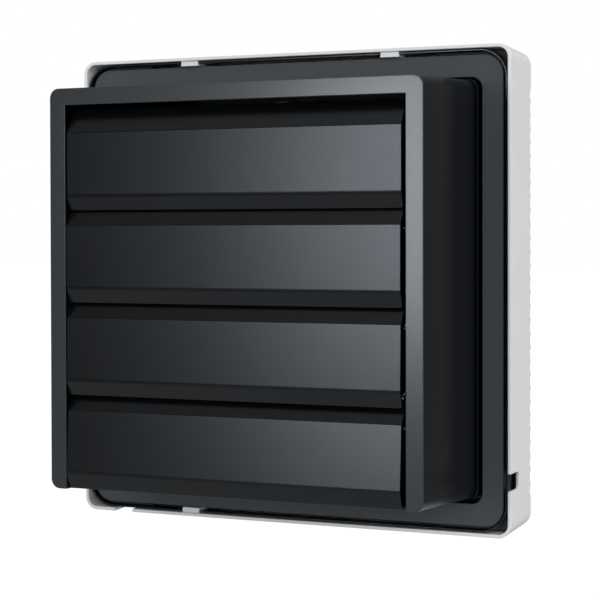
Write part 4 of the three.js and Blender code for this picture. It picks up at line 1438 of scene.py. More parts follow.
# -------------------------------------------------------------------------------------- front panel
@dataclass
class FrontPanel:
    """The slatted room-side panel with its hooks and cable notches."""

    size: float = 300.0
    draft: float = 2.0
    depth: float = 46.8
    standoff: float = 3.3
    wall: float = 2.2
    corner: float = 8.5
    edge_round: float = 3.0
    slat_count: int = 31
    slat_pitch: float = 8.53
    slat_height: float = 2.6
    slat_depth: float = 3.7
    slat_drop: float = 1.9
    slat_root: float = 0.3  # how far the slats are sunk in the backing
    backing: float = 2.0
    window: float = 244.0
    columns: int = 5
    stiffener: float = 5.0
    hook_spread: float = 70.5
    hook_width: float = 12.4
    hook_length: float = 12.0
    hook_gap: float = 0.35
    hook_sides: tuple[tuple[int, int], ...] = ((1, 1), (-1, 1), (1, -1))  # signs of x and z
    notch_width: float = 10.5
    notch_depth: float = 18.2
    notch_corner: float = 2.5
    notch_steps: int = 5
    lower_notch_width: float = 13.0
    lower_notch_reach: float = 120.8
    round_steps: int = 6
    seam_gap: float = 30.3  # between the places where its long faces are split
    seams: int = 4  # of them on each side
    rounding: Edge = Edge(0.5, 3)
    slat_rounding: Edge = Edge(0.35, 2, 50.0)

    @property
    def front(self) -> float:
        """Depth of the slats' room side."""
        return self.standoff - self.depth

    @property
    def inside(self) -> float:
        """Depth of the backing's inner face."""
        return self.front + self.slat_depth + self.backing

    @property
    def front_of_backing(self) -> float:
        """Depth that the slats reach into the backing."""
        return self.front + self.slat_depth + self.slat_root

    def half_at(self, y: float) -> float:
        """Half the panel's outer width at a depth."""
        return self.size / 2 - self.draft * (self.standoff - y) / self.depth

    def ring(self, y: float, inset: float) -> SquareRing:
        """The panel's outline at a depth, inset from its outer face."""
        return SquareRing(self.half_at(y) - inset, y, self.corner - inset)

    def edge_arc(self) -> list[Point]:
        """The round front edge, as distances out and towards the room from its centre."""
        return arc((0, 0), self.edge_round, 0, 90, self.round_steps)

    def tray(self) -> Solid:
        """The panel as a plain tray with a round front edge."""
        r = self.edge_round
        rings = [self.ring(self.standoff, 0)]
        for across, along in self.edge_arc():
            rings.append(self.ring(self.front + r - along, r - across))
        outer = square_tube(rings, closed=False)
        inside = [self.ring(self.standoff + 1, self.wall), self.ring(self.inside, self.wall)]
        return outer - square_tube(inside, closed=False)

    @property
    def first_groove(self) -> float:
        """Height of the lowest groove's middle."""
        return (1 - self.slat_count / 2) * self.slat_pitch - self.slat_drop

    def slat_field(self) -> Solid:
        """The space between the top and bottom borders that the slats stand in."""
        gap = (self.slat_pitch - self.slat_height) / 2
        last = self.first_groove + (self.slat_count - 2) * self.slat_pitch
        depth = (self.front - 1, self.front + self.slat_depth)
        return Solid.box((-self.size, self.size), depth, (self.first_groove - gap, last + gap))

    def slat(self) -> Solid:
        """The lowest slat between two grooves, as wide as the panel and with its round edges."""
        right = [(self.half_at(self.front_of_backing), self.front_of_backing)]
        for across, along in self.edge_arc():
            y = self.front + self.edge_round - along
            right.append((self.half_at(y) - self.edge_round + across, y))
        left = [(-x, y) for x, y in reversed(right)]
        middle = self.first_groove + self.slat_pitch / 2
        half = self.slat_height / 2
        return Solid.prism([*right, *left], (middle - half, middle + half), Axis.Z)

    def windows(self) -> list[Solid]:
        """The openings in the backing behind the slats."""
        column = (self.window - (self.columns - 1) * self.stiffener) / self.columns
        depth = (self.front + self.slat_depth - 1, self.inside + 1)
        lefts = [-self.window / 2 + i * (column + self.stiffener) for i in range(self.columns)]
        half = self.window / 2
        return [Solid.box((left, left + column), depth, (-half, half)) for left in lefts]

    @property
    def hook_places(self) -> list[tuple[float, int]]:
        """x and the sign of z of each hook."""
        return [(x * self.hook_spread, side) for x, side in self.hook_sides]

    def hook(self, x: float, side: int, housing: Housing) -> Solid:
        """One of the hooks that grip the flange's edge."""
        outer, inner = self.size / 2 - self.wall / 2, housing.size / 2 + self.hook_gap
        tip = self.standoff - self.wall / 2
        z = (inner, outer) if side > 0 else (-outer, -inner)
        x_span = (x - self.hook_width / 2, x + self.hook_width / 2)
        return Solid.box(x_span, (tip - self.hook_length, tip), z)

    def notch(self, middle: float, width: float) -> list[Point]:
        """A notch's outline with round inner corners, in the place along the edge and in y."""
        low, r = self.standoff - self.notch_depth, self.notch_corner
        left, right = middle - width / 2, middle + width / 2
        top = self.standoff + 1
        return [
            (left, top),
            *arc((left + r, low + r), r, 180, 270, self.notch_steps),
            *arc((right - r, low + r), r, 270, 360, self.notch_steps),
            (right, top),
        ]

    def build(self, housing: Housing, cable: CableEntry) -> None:
        """Makes the panel's tray and its slats."""
        hooks = [self.hook(x, side, housing) for x, side in self.hook_places]
        wall = (-self.size, -self.size / 2 + 2 * self.wall)
        side_notch = Solid.prism(
            [(y, z) for z, y in self.notch(cable.z, self.notch_width)], wall, Axis.X
        )
        lower_notch = Solid.prism(
            self.notch(self.lower_notch_reach, self.lower_notch_width), wall, Axis.Z
        )
        body = self.tray().cut([self.slat_field(), *self.windows()]).joined(hooks)
        body = body.cut([side_notch, lower_notch])
        seams = tuple(self.seam_gap * (row + 0.5) for row in range(-self.seams, self.seams))
        edge = replace(self.rounding, seams=seams)
        place_piece(body, "room_panel", "panel", PANEL_PLASTIC, ["front_panel"], edge)
        rows = {"Count": self.slat_count - 2, "First": (0.0, 0.0, 0.0)}
        pattern = Pattern(Repeat.ROW, {**rows, "Step": (0.0, 0.0, self.slat_pitch * MM)})
        edge = self.slat_rounding
        place_piece(self.slat(), "panel_slats", "panel", PANEL_PLASTIC, [], edge, pattern)


# ----------------------------------------------------------------------------------- orifice plate
@dataclass
class OrificePlate:
    """The plate on the room side, with the air's sleeve and the posts of the motor bracket."""

    housing: Housing
    box: LouvreBox
    thickness: float = 2.5
    inset: float = 17.5  # sleeve clear of the louvre box's wall
    wall: float = 2.0
    length: float = 24.0
    lip: float = 3.0
    boss_radius: float = 5.5
    boss_gap: float = 2.5
    boss_height: float = 33.5
    screw_bore: float = 1.7
    screw_length: float = 14.0
    post_radius: float = 4.0
    round_steps: int = 8
    steps: int = 128
    rounding: Edge = Edge(0.4, 2)

    @property
    def back(self) -> float:
        """Depth of the plate's outdoor face."""
        return self.housing.back

    @property
    def front(self) -> float:
        """Depth of the plate's room face."""
        return self.back - self.thickness

    @property
    def radius(self) -> float:
        """Radius of the air's way."""
        return self.box.inner_half - self.inset - self.wall

    @property
    def boss_reach(self) -> float:
        """Distance of the bracket's posts from the axis."""
        return self.radius + self.wall + self.boss_gap + self.boss_radius

    @property
    def boss_top(self) -> float:
        """Depth of the posts' outdoor faces."""
        return self.back + self.boss_height

    def boss_places(self) -> list[Point]:
        """x and z of the bracket's posts."""
        far = self.boss_reach
        return [(far, 0), (0, far), (-far, 0), (0, -far)]

    def sleeve(self) -> Solid:
        """The air's sleeve with its flared mouth, joined to the plate's rim."""
        flare = [
            (self.radius + self.lip - across, self.front + self.lip - along)
            for across, along in arc((0, 0), self.lip, 0, 90, self.round_steps)
        ]
        outside = self.radius + self.wall
        end = self.front + self.length
        profile = [(outside + self.lip, self.front), (outside + self.lip, self.back)]
        profile += [(outside, self.back), (outside, end), (self.radius, end)]
        return Solid.turned([*profile, *flare], self.steps)

    def build(self, terminals: "TerminalBox", capacitor: "Capacitor") -> None:
        """Makes the plate."""
        span = (self.front, self.back)
        corner = self.housing.corner - self.housing.skirt_inset
        plate = square_plate(2 * self.housing.skirt_half, corner, span)
        mouth = self.radius + self.lip + self.wall / 2
        plate = plate - Solid.rod(mouth, through(span), steps=self.steps) + self.sleeve()
        left, bottom, wall = terminals.left, terminals.bottom, terminals.wall
        x = (left + wall, left + terminals.width - wall)
        z = (bottom + wall, bottom + terminals.height - wall)
        plate = plate - Solid.box(x, through(span), z)
        plate = plate + Solid.rod(self.post_radius, span, at=terminals.screw_place)
        reach = self.housing.channel_middle(self.box)
        ear, post = self.box.ear_spread, self.housing.post_spread
        holes = [terminals.screw_place, capacitor.screw_place]
        holes += [(x, z) for x in (-reach, reach) for z in (-ear, ear)]
        holes += [(x, z) for x in (-post, post) for z in (-reach, reach)]
        for at in holes:
            plate = plate - screw_hole(self.screw_bore, through(span), at)
        boss = (self.back - self.thickness / 2, self.boss_top)
        bore = (self.boss_top - self.screw_length, self.boss_top + 1)
        for at in self.boss_places():
            plate = plate + Solid.rod(self.boss_radius, boss, at=at)
            plate = plate - screw_hole(self.screw_bore, bore, at)
        place_piece(plate, "air_plate", "casing", FAN_PLASTIC, ["orifice_plate"], self.rounding)


# ------------------------------------------------------------------------------------------ the fan
@dataclass
class Impeller:
    """The fan wheel: a hub cup with swept, cambered blades, and its nut."""

    plate: OrificePlate
    count: int = 5
    clearance: float = 4.5
    thickness: float = 1.8
    edge: float = 1.1
    chord: Span = (44.0, 78.0)  # at the root and at the tip
    pitch: Span = (32.0, 17.0)  # in degrees
    sweep: float = 0.28
    camber: float = 0.07
    hub_radius: float = 28.0
    hub_length: float = 23.0
    hub_wall: float = 2.2
    setback: float = 1.5
    bore: float = 4.04
    nut_radius: float = 9.0
    nut_length: float = 8.0
    nut_cap: float = 2.0
    nut_shares: Span = (0.7, 0.3)  # of its radius, in its flat end and in the round beside it
    flutes: int = 12
    flute_radius: float = 1.3
    flute_offset: float = 0.5  # of a flute's middle outside the nut
    flute_end: float = 1.5  # from the hub
    full_share: float = 0.3  # of the chord, on each side of its middle, with the full thickness
    thinning: float = 0.2  # of the chord, over which the blade thins to its edge
    span_steps: int = 16
    chord_steps: int = 12
    steps: int = 96
    nut_steps: int = 48
    flute_steps: int = 16
    rounding: Edge = Edge(0.4, 2)
    blade_rounding: Edge = Edge(0.35, 2, 40.0)
    nut_rounding: Edge = Edge(0.3, 2)

    @property
    def front(self) -> float:
        """Depth of the hub's room face."""
        return self.plate.front + self.setback

    @property
    def back(self) -> float:
        """Depth of the hub's outdoor end."""
        return self.front + self.hub_length

    @staticmethod
    def between(ends: Span, share: float) -> float:
        """The value at a share of the way between two ends."""
        return ends[0] + (ends[1] - ends[0]) * share

    def blade_ring(self, share: float) -> list[Place]:
        """A blade's section round the axis at a share of its span."""
        roots = (self.hub_radius - self.hub_wall / 2, self.plate.radius - self.clearance)
        radius = self.between(roots, share)
        chord = self.between(self.chord, math.sqrt(share))
        pitch = math.radians(self.between(self.pitch, share))
        stations = [i / self.chord_steps - 0.5 for i in range(self.chord_steps + 1)]
        section = []
        for side, row in ((1, stations), (-1, stations[::-1])):
            for s in row:
                thinned = max(0.0, abs(s) - self.full_share) / self.thinning
                thick = self.between((self.thickness, self.edge), thinned)
                rise = self.camber * chord * (1 - 4 * s * s)
                section.append((s * chord, rise + side * thick / 2))
        middle = self.front + self.hub_length / 2
        cosine, sine = math.cos(pitch), math.sin(pitch)
        ring = []
        for along, across in section:
            around = along * cosine - across * sine
            y = middle + along * sine + across * cosine
            angle = around / radius + self.sweep * share
            ring.append((radius * math.cos(angle), y, radius * math.sin(angle)))
        return ring

    def hub(self) -> Solid:
        """The hub cup, open towards the motor, with the core that the shaft is fixed in."""
        r, wall, core = self.hub_radius, self.hub_wall, self.nut_radius
        profile = [(self.bore, self.front), (r - wall, self.front)]
        profile += arc((r - wall, self.front + wall), wall, -90, 0, CORNER_STEPS)
        floor, end = self.front + 2 * wall, self.back - wall
        profile += [(r, self.back), (r - wall, self.back), (r - wall, floor)]
        profile += [(core, floor), (core, end), (self.bore, end)]
        return Solid.turned(profile, self.steps)

    def nut(self) -> Solid:
        """The fluted nut that holds the hub on its shaft."""
        front = self.front - self.nut_length
        cap = front + self.nut_cap
        r = self.nut_radius
        face, corner = (share * r for share in self.nut_shares)
        profile = [(0, front), (face, front)]
        profile += arc((face, cap), corner, -90, 0, CORNER_STEPS)[1:]
        profile += [(r, self.front), (self.bore, self.front), (self.bore, cap)]
        nut = Solid.turned([*profile, (0, cap)], self.nut_steps)
        span = (front - 1, self.front - self.flute_end)
        reach = r + self.flute_offset
        for turn in range(self.flutes):
            angle = math.tau * turn / self.flutes
            at = (reach * math.cos(angle), reach * math.sin(angle))
            nut = nut - Solid.rod(self.flute_radius, span, at=at, steps=self.flute_steps)
        return nut

    def build(self) -> None:
        """Makes the hub, the blades and the nut."""
        body, plastic = "fan_wheel", FAN_PLASTIC
        place_piece(self.hub(), "fan_hub", body, plastic, [], self.rounding)
        rings = [self.blade_ring(i / self.span_steps) for i in range(self.span_steps + 1)]
        blade = Solid.loft(rings, folded=True)
        copies = {"Count": self.count, "Radius": 0.0, "First": 0.0, "Loose": 0.0, "Seed": 0}
        pattern = Pattern(Repeat.RING, copies)
        edge = self.blade_rounding
        place_piece(blade, "fan_blades", body, plastic, ["impeller"], edge, pattern)
        place_piece(self.nut(), "hub_nut", body, plastic, ["impeller_nut"], self.nut_rounding)


@dataclass
class Motor:
    """The sealed motor on its cross bracket, with the shaft that carries the fan wheel."""

    plate: OrificePlate
    impeller: Impeller
    radius: float = 38.0
    wall: float = 1.5
    length: float = 31.0
    bell: float = 7.0
    spigot: float = 15.0
    seat_gap: float = 0.1
    bearing_radius: float = 9.0
    bearing_length: float = 7.0
    bearing_fit: float = 0.1
    shaft_radius: float = 4.0
    stator_bore: float = 22.5
    air_gap: float = 0.8
    core_inset: float = 3.5
    bracket: float = 2.5
    bracket_margin: float = 5.0
    arm: float = 15.0
    arm_corner: float = 5.0
    screw_inset: float = 7.0
    screw_post: float = 3.2
    shaft_chamfer: float = 0.8
    bearing_chamfer: float = 0.6
    steps: int = 96
    rounding: Edge = Edge(0.3, 2)

    @property
    def front(self) -> float:
        """Depth of the bracket's outdoor face, which the motor stands on."""
        return self.plate.boss_top + self.bracket

    @property
    def can(self) -> Span:
        """Depths of the can's ends."""
        return (self.front + self.bell, self.front + self.bell + self.length)

    @property
    def back(self) -> float:
        """Depth of the motor's outdoor end."""
        return self.can[1] + self.bell

    @property
    def core(self) -> Span:
        """Depths of the laminated core's ends."""
        return (self.can[0] + self.core_inset, self.can[1] - self.core_inset)

    @property
    def screw_reach(self) -> float:
        """Distance of the motor's screws from the axis."""
        return self.radius - self.screw_inset

    def screw_places(self) -> list[Point]:
        """x and z of the motor's screws."""
        turns = [math.tau * (turn + 0.5) / SCREW_SET for turn in range(SCREW_SET)]
        return [(self.screw_reach * math.cos(a), self.screw_reach * math.sin(a)) for a in turns]

    def tube(self, inner: float, outer: float, span: Span, chamfer: float = 0.0) -> Solid:
        """A tube about the axis, with its outer edges chamfered."""
        low, high = span
        side = [(outer, low + chamfer), (outer, high - chamfer)]
        if chamfer:
            side = [(outer - chamfer, low), *side, (outer - chamfer, high)]
        return Solid.turned([(inner, low), *side, (inner, high)], self.steps)

    def bell_cup(self, floor: float, mouth: float) -> Solid:
        """A pressed cup that closes one end of the can and carries a bearing."""
        inward = 1 if mouth > floor else -1
        inside, seat = self.radius - self.wall, self.bearing_radius + self.seat_gap
        plate = floor + 2 * self.wall * inward
        end = floor + inward * self.bearing_length
        round_edge = [
            (inside + self.wall * math.sin(a), floor + inward * self.wall * (1 - math.cos(a)))
            for a in quarter_turn()
        ]
        profile = [(seat, floor), *round_edge, (self.radius, mouth), (inside, mouth)]
        profile += [(inside, plate), (self.spigot, plate), (self.spigot - self.wall, end)]
        return Solid.turned([*profile, (seat, end)], self.steps)

    def front_bell(self) -> Solid:
        """The bell that is screwed to the bracket."""
        span = (self.front, self.can[0] - self.seat_gap)
        cup = self.bell_cup(self.front, self.can[0])
        for at in self.screw_places():
            cup = cup + Solid.rod(self.screw_post, span, at=at, steps=SMALL_STEPS)
            cup = cup - screw_hole(self.plate.screw_bore, through(span), at)
        return cup

    def cross(self) -> Solid:
        """The bracket: two crossed arms and a ring, with holes for the screws and the bearing."""
        span = (self.plate.boss_top, self.front)
        reach = 2 * (self.plate.boss_reach + self.plate.boss_radius)
        bars = [
            Solid.prism(rounded_rectangle(*size, self.arm_corner, CORNER_STEPS), span)
            for size in ((reach, self.arm), (self.arm, reach))
        ]
        ring = Solid.rod(self.radius + self.bracket_margin, span, steps=self.steps)
        bracket = bars[0] + bars[1] + ring
        bracket = bracket - Solid.rod(self.bearing_radius + self.seat_gap, through(span))
        holes = [*self.screw_places(), *self.plate.boss_places()]
        return bracket.cut([screw_hole(self.plate.screw_bore, through(span), at) for at in holes])

    def build(self) -> None:
        """Makes the motor's pieces."""
        nut_end = self.impeller.front - self.impeller.nut_length
        shaft = (nut_end + self.impeller.nut_cap, self.back - self.bearing_length / 4)
        bore = self.shaft_radius + self.bearing_fit
        bearings = [self.front, self.back - self.bearing_length]
        rotor = self.tube(self.impeller.bore, self.stator_bore - self.air_gap, self.core)
        stator = self.tube(self.stator_bore, self.radius - self.wall, self.core)
        can = self.tube(self.radius - self.wall, self.radius, self.can)
        rod = self.tube(0, self.shaft_radius, shaft, self.shaft_chamfer)
        rear = self.bell_cup(self.back, self.can[1])
        pieces = [
            (rod, "drive_shaft", "fan_wheel", SHAFT_STEEL, "motor_shaft"),
            (rotor, "rotor_core", "fan_wheel", LAMINATIONS, "rotor"),
            (stator, "stator_core", "casing", LAMINATIONS, "stator"),
            (can, "can_sleeve", "casing", ZINC_PLATE, "motor_can"),
            (self.front_bell(), "front_bell", "casing", ZINC_PLATE, "motor_front_bell"),
            (rear, "rear_bell", "casing", ZINC_PLATE, "motor_rear_bell"),
            (self.cross(), "cross_bracket", "casing", BRACKET_STEEL, "motor_bracket"),
        ]
        for start, name in zip(bearings, ("front_bearing", "rear_bearing")):
            span = (start, start + self.bearing_length)
            bush = self.tube(bore, self.bearing_radius, span, self.bearing_chamfer)
            pieces.append((bush, name.replace("bearing", "bush"), "casing", BEARING_BRONZE, name))
        for solid, name, body, finish, node in pieces:
            place_piece(solid, name, body, finish, [node], self.rounding)


# ------------------------------------------------------------------------------- electrical pieces
def small_block(width: float, height: float, corner: float, middle: Point, span: Span) -> Solid:
    """An upright block about a place in x and z, with round corners."""
    outline = rounded_rectangle(width, height, corner, CORNER_STEPS)
    return Solid.prism([(x + middle[0], z + middle[1]) for x, z in outline], span)


@dataclass
class TerminalBox:
    """The box on the plate where the supply cable is joined, with its cover and terminal block."""

    plate: OrificePlate
    box: LouvreBox
    cable: CableEntry
    width: float = 36.0
    height: float = 37.5
    depth: float = 38.0
    wall: float = 2.0
    gap: float = 3.75
    floor_gap: float = 1.4
    corner: float = 1.5
    inner_corner: float = 0.5
    post_inset: float = 4.5
    post_radius: float = 4.0
    cover: float = 2.0
    overlap: float = 3.0
    cover_corner: float = 3.0
    block: tuple[float, float, float] = (20.0, 14.0, 13.0)
    poles: int = 3
    pole_radius: float = 2.2
    hole_fit: float = 0.1
    lead_radius: float = 2.4
    lead_room: float = 0.6
    rounding: Edge = Edge(0.4, 2)
    cover_rounding: Edge = Edge(0.5, 3)

    @property
    def end(self) -> float:
        """Depth of the box's outdoor end."""
        return self.plate.back + self.depth

    @property
    def left(self) -> float:
        """x of the box's side nearest the louvre box's wall."""
        return self.gap + self.box.wall - self.box.half_at(self.end)

    @property
    def bottom(self) -> float:
        """Height of the box's underside."""
        return self.box.rise + self.floor_gap + self.box.wall - self.box.half_at(self.end)

    @property
    def screw_place(self) -> Point:
        """x and z of the cover's screw."""
        right, top = self.left + self.width, self.bottom + self.height
        return (right - self.post_inset, top - self.post_inset)

    @property
    def lead_entry(self) -> Point:
        """x and z of the motor lead's hole."""
        inset = self.wall + 3 * self.lead_radius
        return (self.left + inset, self.bottom + self.height - inset)

    def block_shape(self, inset: float, span: Span, corner: float) -> Solid:
        """An upright block on the box's outline, inset from it, with round corners."""
        width, height = self.width - 2 * inset, self.height - 2 * inset
        middle = (self.left + self.width / 2, self.bottom + self.height / 2)
        return small_block(width, height, corner, middle, span)

    def shell(self) -> Solid:
        """The open box with its post, cable hole and lead hole."""
        span = (self.plate.back, self.end)
        body = self.block_shape(0, span, self.corner)
        inside = (span[0] - 1, self.end - self.wall)
        body = body - self.block_shape(self.wall, inside, self.inner_corner)
        post = (span[0], self.end - self.wall / 2)
        body = body + Solid.rod(self.post_radius, post, at=self.screw_place)
        side = through((self.left, self.left + self.wall))
        cable = (self.cable.y, self.cable.z)
        bore = (span[0] - 1, span[0] + self.plate.screw_length)
        floor = through((self.end - self.wall, self.end))
        return body.cut(
            [
                screw_hole(self.plate.screw_bore, bore, self.screw_place),
                Solid.rod(self.cable.radius + self.hole_fit, side, Axis.X, cable),
                Solid.rod(self.lead_radius + self.lead_room, floor, at=self.lead_entry),
            ]
        )

    def cover_plate(self) -> Solid:
        """The flat cover."""
        span = (self.plate.front - self.cover, self.plate.front)
        cover = self.block_shape(-self.overlap, span, self.cover_corner)
        return cover - screw_hole(self.plate.screw_bore, through(span), self.screw_place)

    def terminal_block(self) -> Solid:
        """The row of clamp terminals on the box's floor."""
        width, depth, height = self.block
        left = self.left + (self.width - width) / 2
        end = self.end - self.wall
        bottom = self.bottom + self.wall + self.cable.radius
        solid = Solid.box((left, left + width), (end - depth, end), (bottom, bottom + height))
        pitch = width / self.poles
        for pole in range(self.poles):
            at = (left + (pole + 0.5) * pitch, bottom + height / 2)
            hole = (end - depth - 1, end - depth / 3)
            solid = solid - screw_hole(self.pole_radius, hole, at)
        return solid

    def build(self) -> None:
        """Makes the box, its cover and the terminals."""
        cream, pale = CREAM_PLASTIC, COMPONENT_PLASTIC
        edge, wide = self.rounding, self.cover_rounding
        place_piece(self.shell(), "joint_box", "casing", cream, ["terminal_box"], edge)
        place_piece(self.cover_plate(), "joint_cover", "casing", cream, ["terminal_cover"], wide)
        place_piece(self.terminal_block(), "clamp_block", "casing", pale, ["terminal_block"], edge)


@dataclass
class Capacitor:
    """The motor's capacitor with its fixing tab."""

    plate: OrificePlate
    box: LouvreBox
    width: float = 36.0
    height: float = 24.0
    depth: float = 17.0
    gap: float = 5.4
    floor_gap: float = 7.5
    tab: float = 9.0
    tab_thickness: float = 1.6
    corner: float = 2.0
    rounding: Edge = Edge(0.6, 3)

    @property
    def right(self) -> float:
        """x of the side nearest the louvre box's wall."""
        return self.box.half_at(self.plate.back + self.depth) - self.box.wall - self.gap

    @property
    def bottom(self) -> float:
        """Height of the body's underside."""
        half = self.box.half_at(self.plate.back + self.depth)
        return self.box.rise + self.floor_gap + self.box.wall - half + self.tab

    @property
    def screw_place(self) -> Point:
        """x and z of the tab's screw."""
        return (self.right - self.width / 2, self.bottom - self.tab / 2)

    def build(self) -> None:
        """Makes the capacitor."""
        back = self.plate.back
        middle = (self.right - self.width / 2, self.bottom + self.height / 2)
        depth = (back, back + self.depth)
        body = small_block(self.width, self.height, self.corner, middle, depth)
        x, z = self.screw_place
        half = self.tab / 2
        span = (back, back + self.tab_thickness)
        body = body + Solid.box((x - half, x + half), span, (z - half, self.bottom + half))
        body = body - screw_hole(self.plate.screw_bore, through(span), (x, z))
        finish = COMPONENT_PLASTIC
        place_piece(body, "start_capacitor", "casing", finish, ["capacitor"], self.rounding)


@dataclass
class Leads:
    """The rubber grommet in the housing's side and the sleeved lead of the motor."""

    housing: Housing
    cable: CableEntry
    motor: Motor
    terminals: TerminalBox
    stub: float = 12.0
    bend: float = 14.0
    path_steps: int = 48
    sides: int = 20
    rounding: Edge = Edge(0.5, 3)
    lead_rounding: Edge = Edge(0.3, 2, 60.0)

    def grommet(self) -> Solid:
        """The grommet: a neck through the wall between a rim and a collar."""
        outer = -self.housing.skirt_half
        inner = outer + self.housing.skirt_wall
        rim, collar = outer - self.cable.flange, inner + self.cable.flange
        at = (self.cable.y, self.cable.z)
        lip = self.cable.outer + self.cable.flange
        body = Solid.rod(self.cable.outer, (rim, collar), Axis.X, at)
        for span in ((rim, outer), (inner, collar)):
            body = body + Solid.rod(lip, span, Axis.X, at)
        return body - Solid.rod(self.cable.radius, through((rim, collar)), Axis.X, at)

    def lead_path(self) -> list[Vector]:
        """The lead's turning points, from the motor's can into the terminal box."""
        motor, terminals = self.motor, self.terminals
        level = motor.can[0] + motor.bell
        x, z = terminals.lead_entry
        reaches = (motor.radius, motor.radius + self.stub)
        diagonals = [-reach * math.sqrt(0.5) for reach in reaches]
        inside = terminals.end - terminals.wall - terminals.lead_radius
        points = [(d, level, d) for d in diagonals]
        points.append((x + self.bend, level, z + self.bend))
        points += [(x, y, z) for y in ((level + terminals.end) / 2, terminals.end, inside)]
        return [Vector(point) for point in points]

    def smooth_path(self) -> bpy.types.Mesh:
        """The lead's path as a line of points on one smooth curve."""
        knots = self.lead_path()
        ends = [2 * knots[0] - knots[1], *knots, 2 * knots[-1] - knots[-2]]
        points = []
        for start in range(len(knots) - 1):
            a, b, c, d = ends[start : start + 4]
            steps = self.path_steps // (len(knots) - 1)
            for step in range(steps + (start == len(knots) - 2)):
                s = step / steps
                curve = 2 * b + (c - a) * s + (2 * a - 5 * b + 4 * c - d) * s**2
                points.append((curve + (3 * b - a - 3 * c + d) * s**3) / 2)
        mesh = bpy.data.meshes.new("path")
        mesh.from_pydata(points, [(i, i + 1) for i in range(len(points) - 1)], [])
        return mesh

    def build(self) -> None:
        """Makes the grommet and the lead."""
        bush, rubber = self.grommet(), GROMMET_RUBBER
        place_piece(bush, "entry_bush", "casing", rubber, ["cable_grommet"], self.rounding)
        values = {"Radius": self.terminals.lead_radius * MM, "Sides": self.sides}
        hose = Pattern(Repeat.HOSE, values)
        path = Solid(self.smooth_path())
        edge = self.lead_rounding
        place_piece(path, "sleeved_lead", "casing", LEAD_SLEEVE, ["motor_lead"], edge, hose)


# ---------------------------------------------------------------------------------------- fasteners
@dataclass
class Screws:
    """The fan's thread-forming screws, with domed pan heads and cross recesses."""

    head_radius: float = 3.4
    head_height: float = 2.1
    head_edge: float = 1.1
    shank: float = 1.6
    core: float = 1.3
    thread: float = 1.4
    recess_length: float = 4.2
    recess_width: float = 0.9
    recess_depth: float = 1.1
    length: float = 14.0
    seed: int = 7  # of the turns at which the screws stop
    rounding: Edge = Edge(0.15, 1, 40.0)

    def solid(self, length: float, heads: int, y: float, at: Point = (0, 0)) -> Solid:
        """A screw along Y.

        Args:
            length: Length of its shank.
            heads: 1 for a head on the outdoor side, or -1 for one on the room side.
            y: Depth of the head's underside.
            at: x and z of the screw.

        Returns:
            The screw.
        """
        rise = self.head_height - self.head_edge
        dome = [
            (self.head_radius * math.cos(a), self.head_edge + rise * math.sin(a))
            for a in quarter_turn()[:-1]
        ]
        profile = [(0, -length), (self.core / 2, -length)]
        turns = int(length / self.thread) - 1
        for turn in range(turns, 0, -1):
            start = -turn * self.thread
            profile += [(self.core, start), (self.shank, start + self.thread / 2)]
        profile += [(self.core, 0), (self.head_radius, 0), *dome, (0, self.head_height)]
        screw = Solid.turned([(radius, along * heads) for radius, along in profile], SMALL_STEPS)
        half, wide = self.recess_length / 2, self.recess_width / 2
        bottom, top = self.head_height - self.recess_depth, self.head_height + 1
        depth = (bottom, top) if heads > 0 else (-top, -bottom)
        for x, z in ((half, wide), (wide, half)):
            screw = screw - Solid.box((-x, x), depth, (-z, z))
        return screw.moved(at[0], y, at[1])

    def build(
        self, plate: OrificePlate, motor: Motor, terminals: TerminalBox, capacitor: Capacitor
    ) -> None:
        """Makes every screw, each set of equal ones as one piece."""
        reach = 2 * plate.housing.channel_middle(plate.box) * MM
        loose = {"Loose": math.pi / 2, "Seed": self.seed}
        ears = {"Width": reach, "Height": 2 * plate.box.ear_spread * MM, **loose}
        posts = {"Width": 2 * plate.housing.post_spread * MM, "Height": reach, **loose}
        arms = {"Count": SCREW_SET, "Radius": plate.boss_reach * MM, "First": 0.0, **loose}
        ring = {**arms, "Radius": motor.screw_reach * MM, "First": math.pi / 4}
        roomside = self.solid(self.length, -1, plate.front)
        inner = motor.bracket + motor.bell - 1
        tab = plate.back + capacitor.tab_thickness
        sets = [
            ("box_screw", roomside, Repeat.CORNERS, ears),
            ("plate_screw", roomside, Repeat.CORNERS, posts),
            ("bracket_screw", self.solid(self.length, 1, motor.front), Repeat.RING, arms),
            ("motor_screw", self.solid(inner, -1, plate.boss_top), Repeat.RING, ring),
        ]
        for name, screw, way, values in sets:
            nodes = [f"{name}_{number + 1}" for number in range(SCREW_SET)]
            pattern = Pattern(way, values)
            place_piece(screw, f"{name}s", "casing", ZINC_SCREW, nodes, self.rounding, pattern)
        cover = self.solid(self.length, -1, plate.front - terminals.cover, terminals.screw_place)
        fixing = self.solid(plate.thickness, 1, tab, capacitor.screw_place)
        for screw, name, node in (
            (cover, "cover_screw", "terminal_cover_screw"),
            (fixing, "tab_screw", "capacitor_screw"),
        ):
            place_piece(screw, name, "casing", ZINC_SCREW, [node], self.rounding)


# ------------------------------------------------------------------------------- camera and studio
def direction(azimuth: float, elevation: float) -> Vector:
    """The direction at an azimuth from outdoors towards +X and an elevation, in degrees."""
    around, up = math.radians(azimuth), math.radians(elevation)
    return Vector((math.sin(around) * math.cos(up), math.cos(around) * math.cos(up), math.sin(up)))


def stand(thing: bpy.types.Object, place: Sequence[float], turn: Quaternion) -> None:
    """Puts an object in its place and turns it."""
    thing.location = place
    thing.rotation_mode = "QUATERNION"
    thing.rotation_quaternion = turn


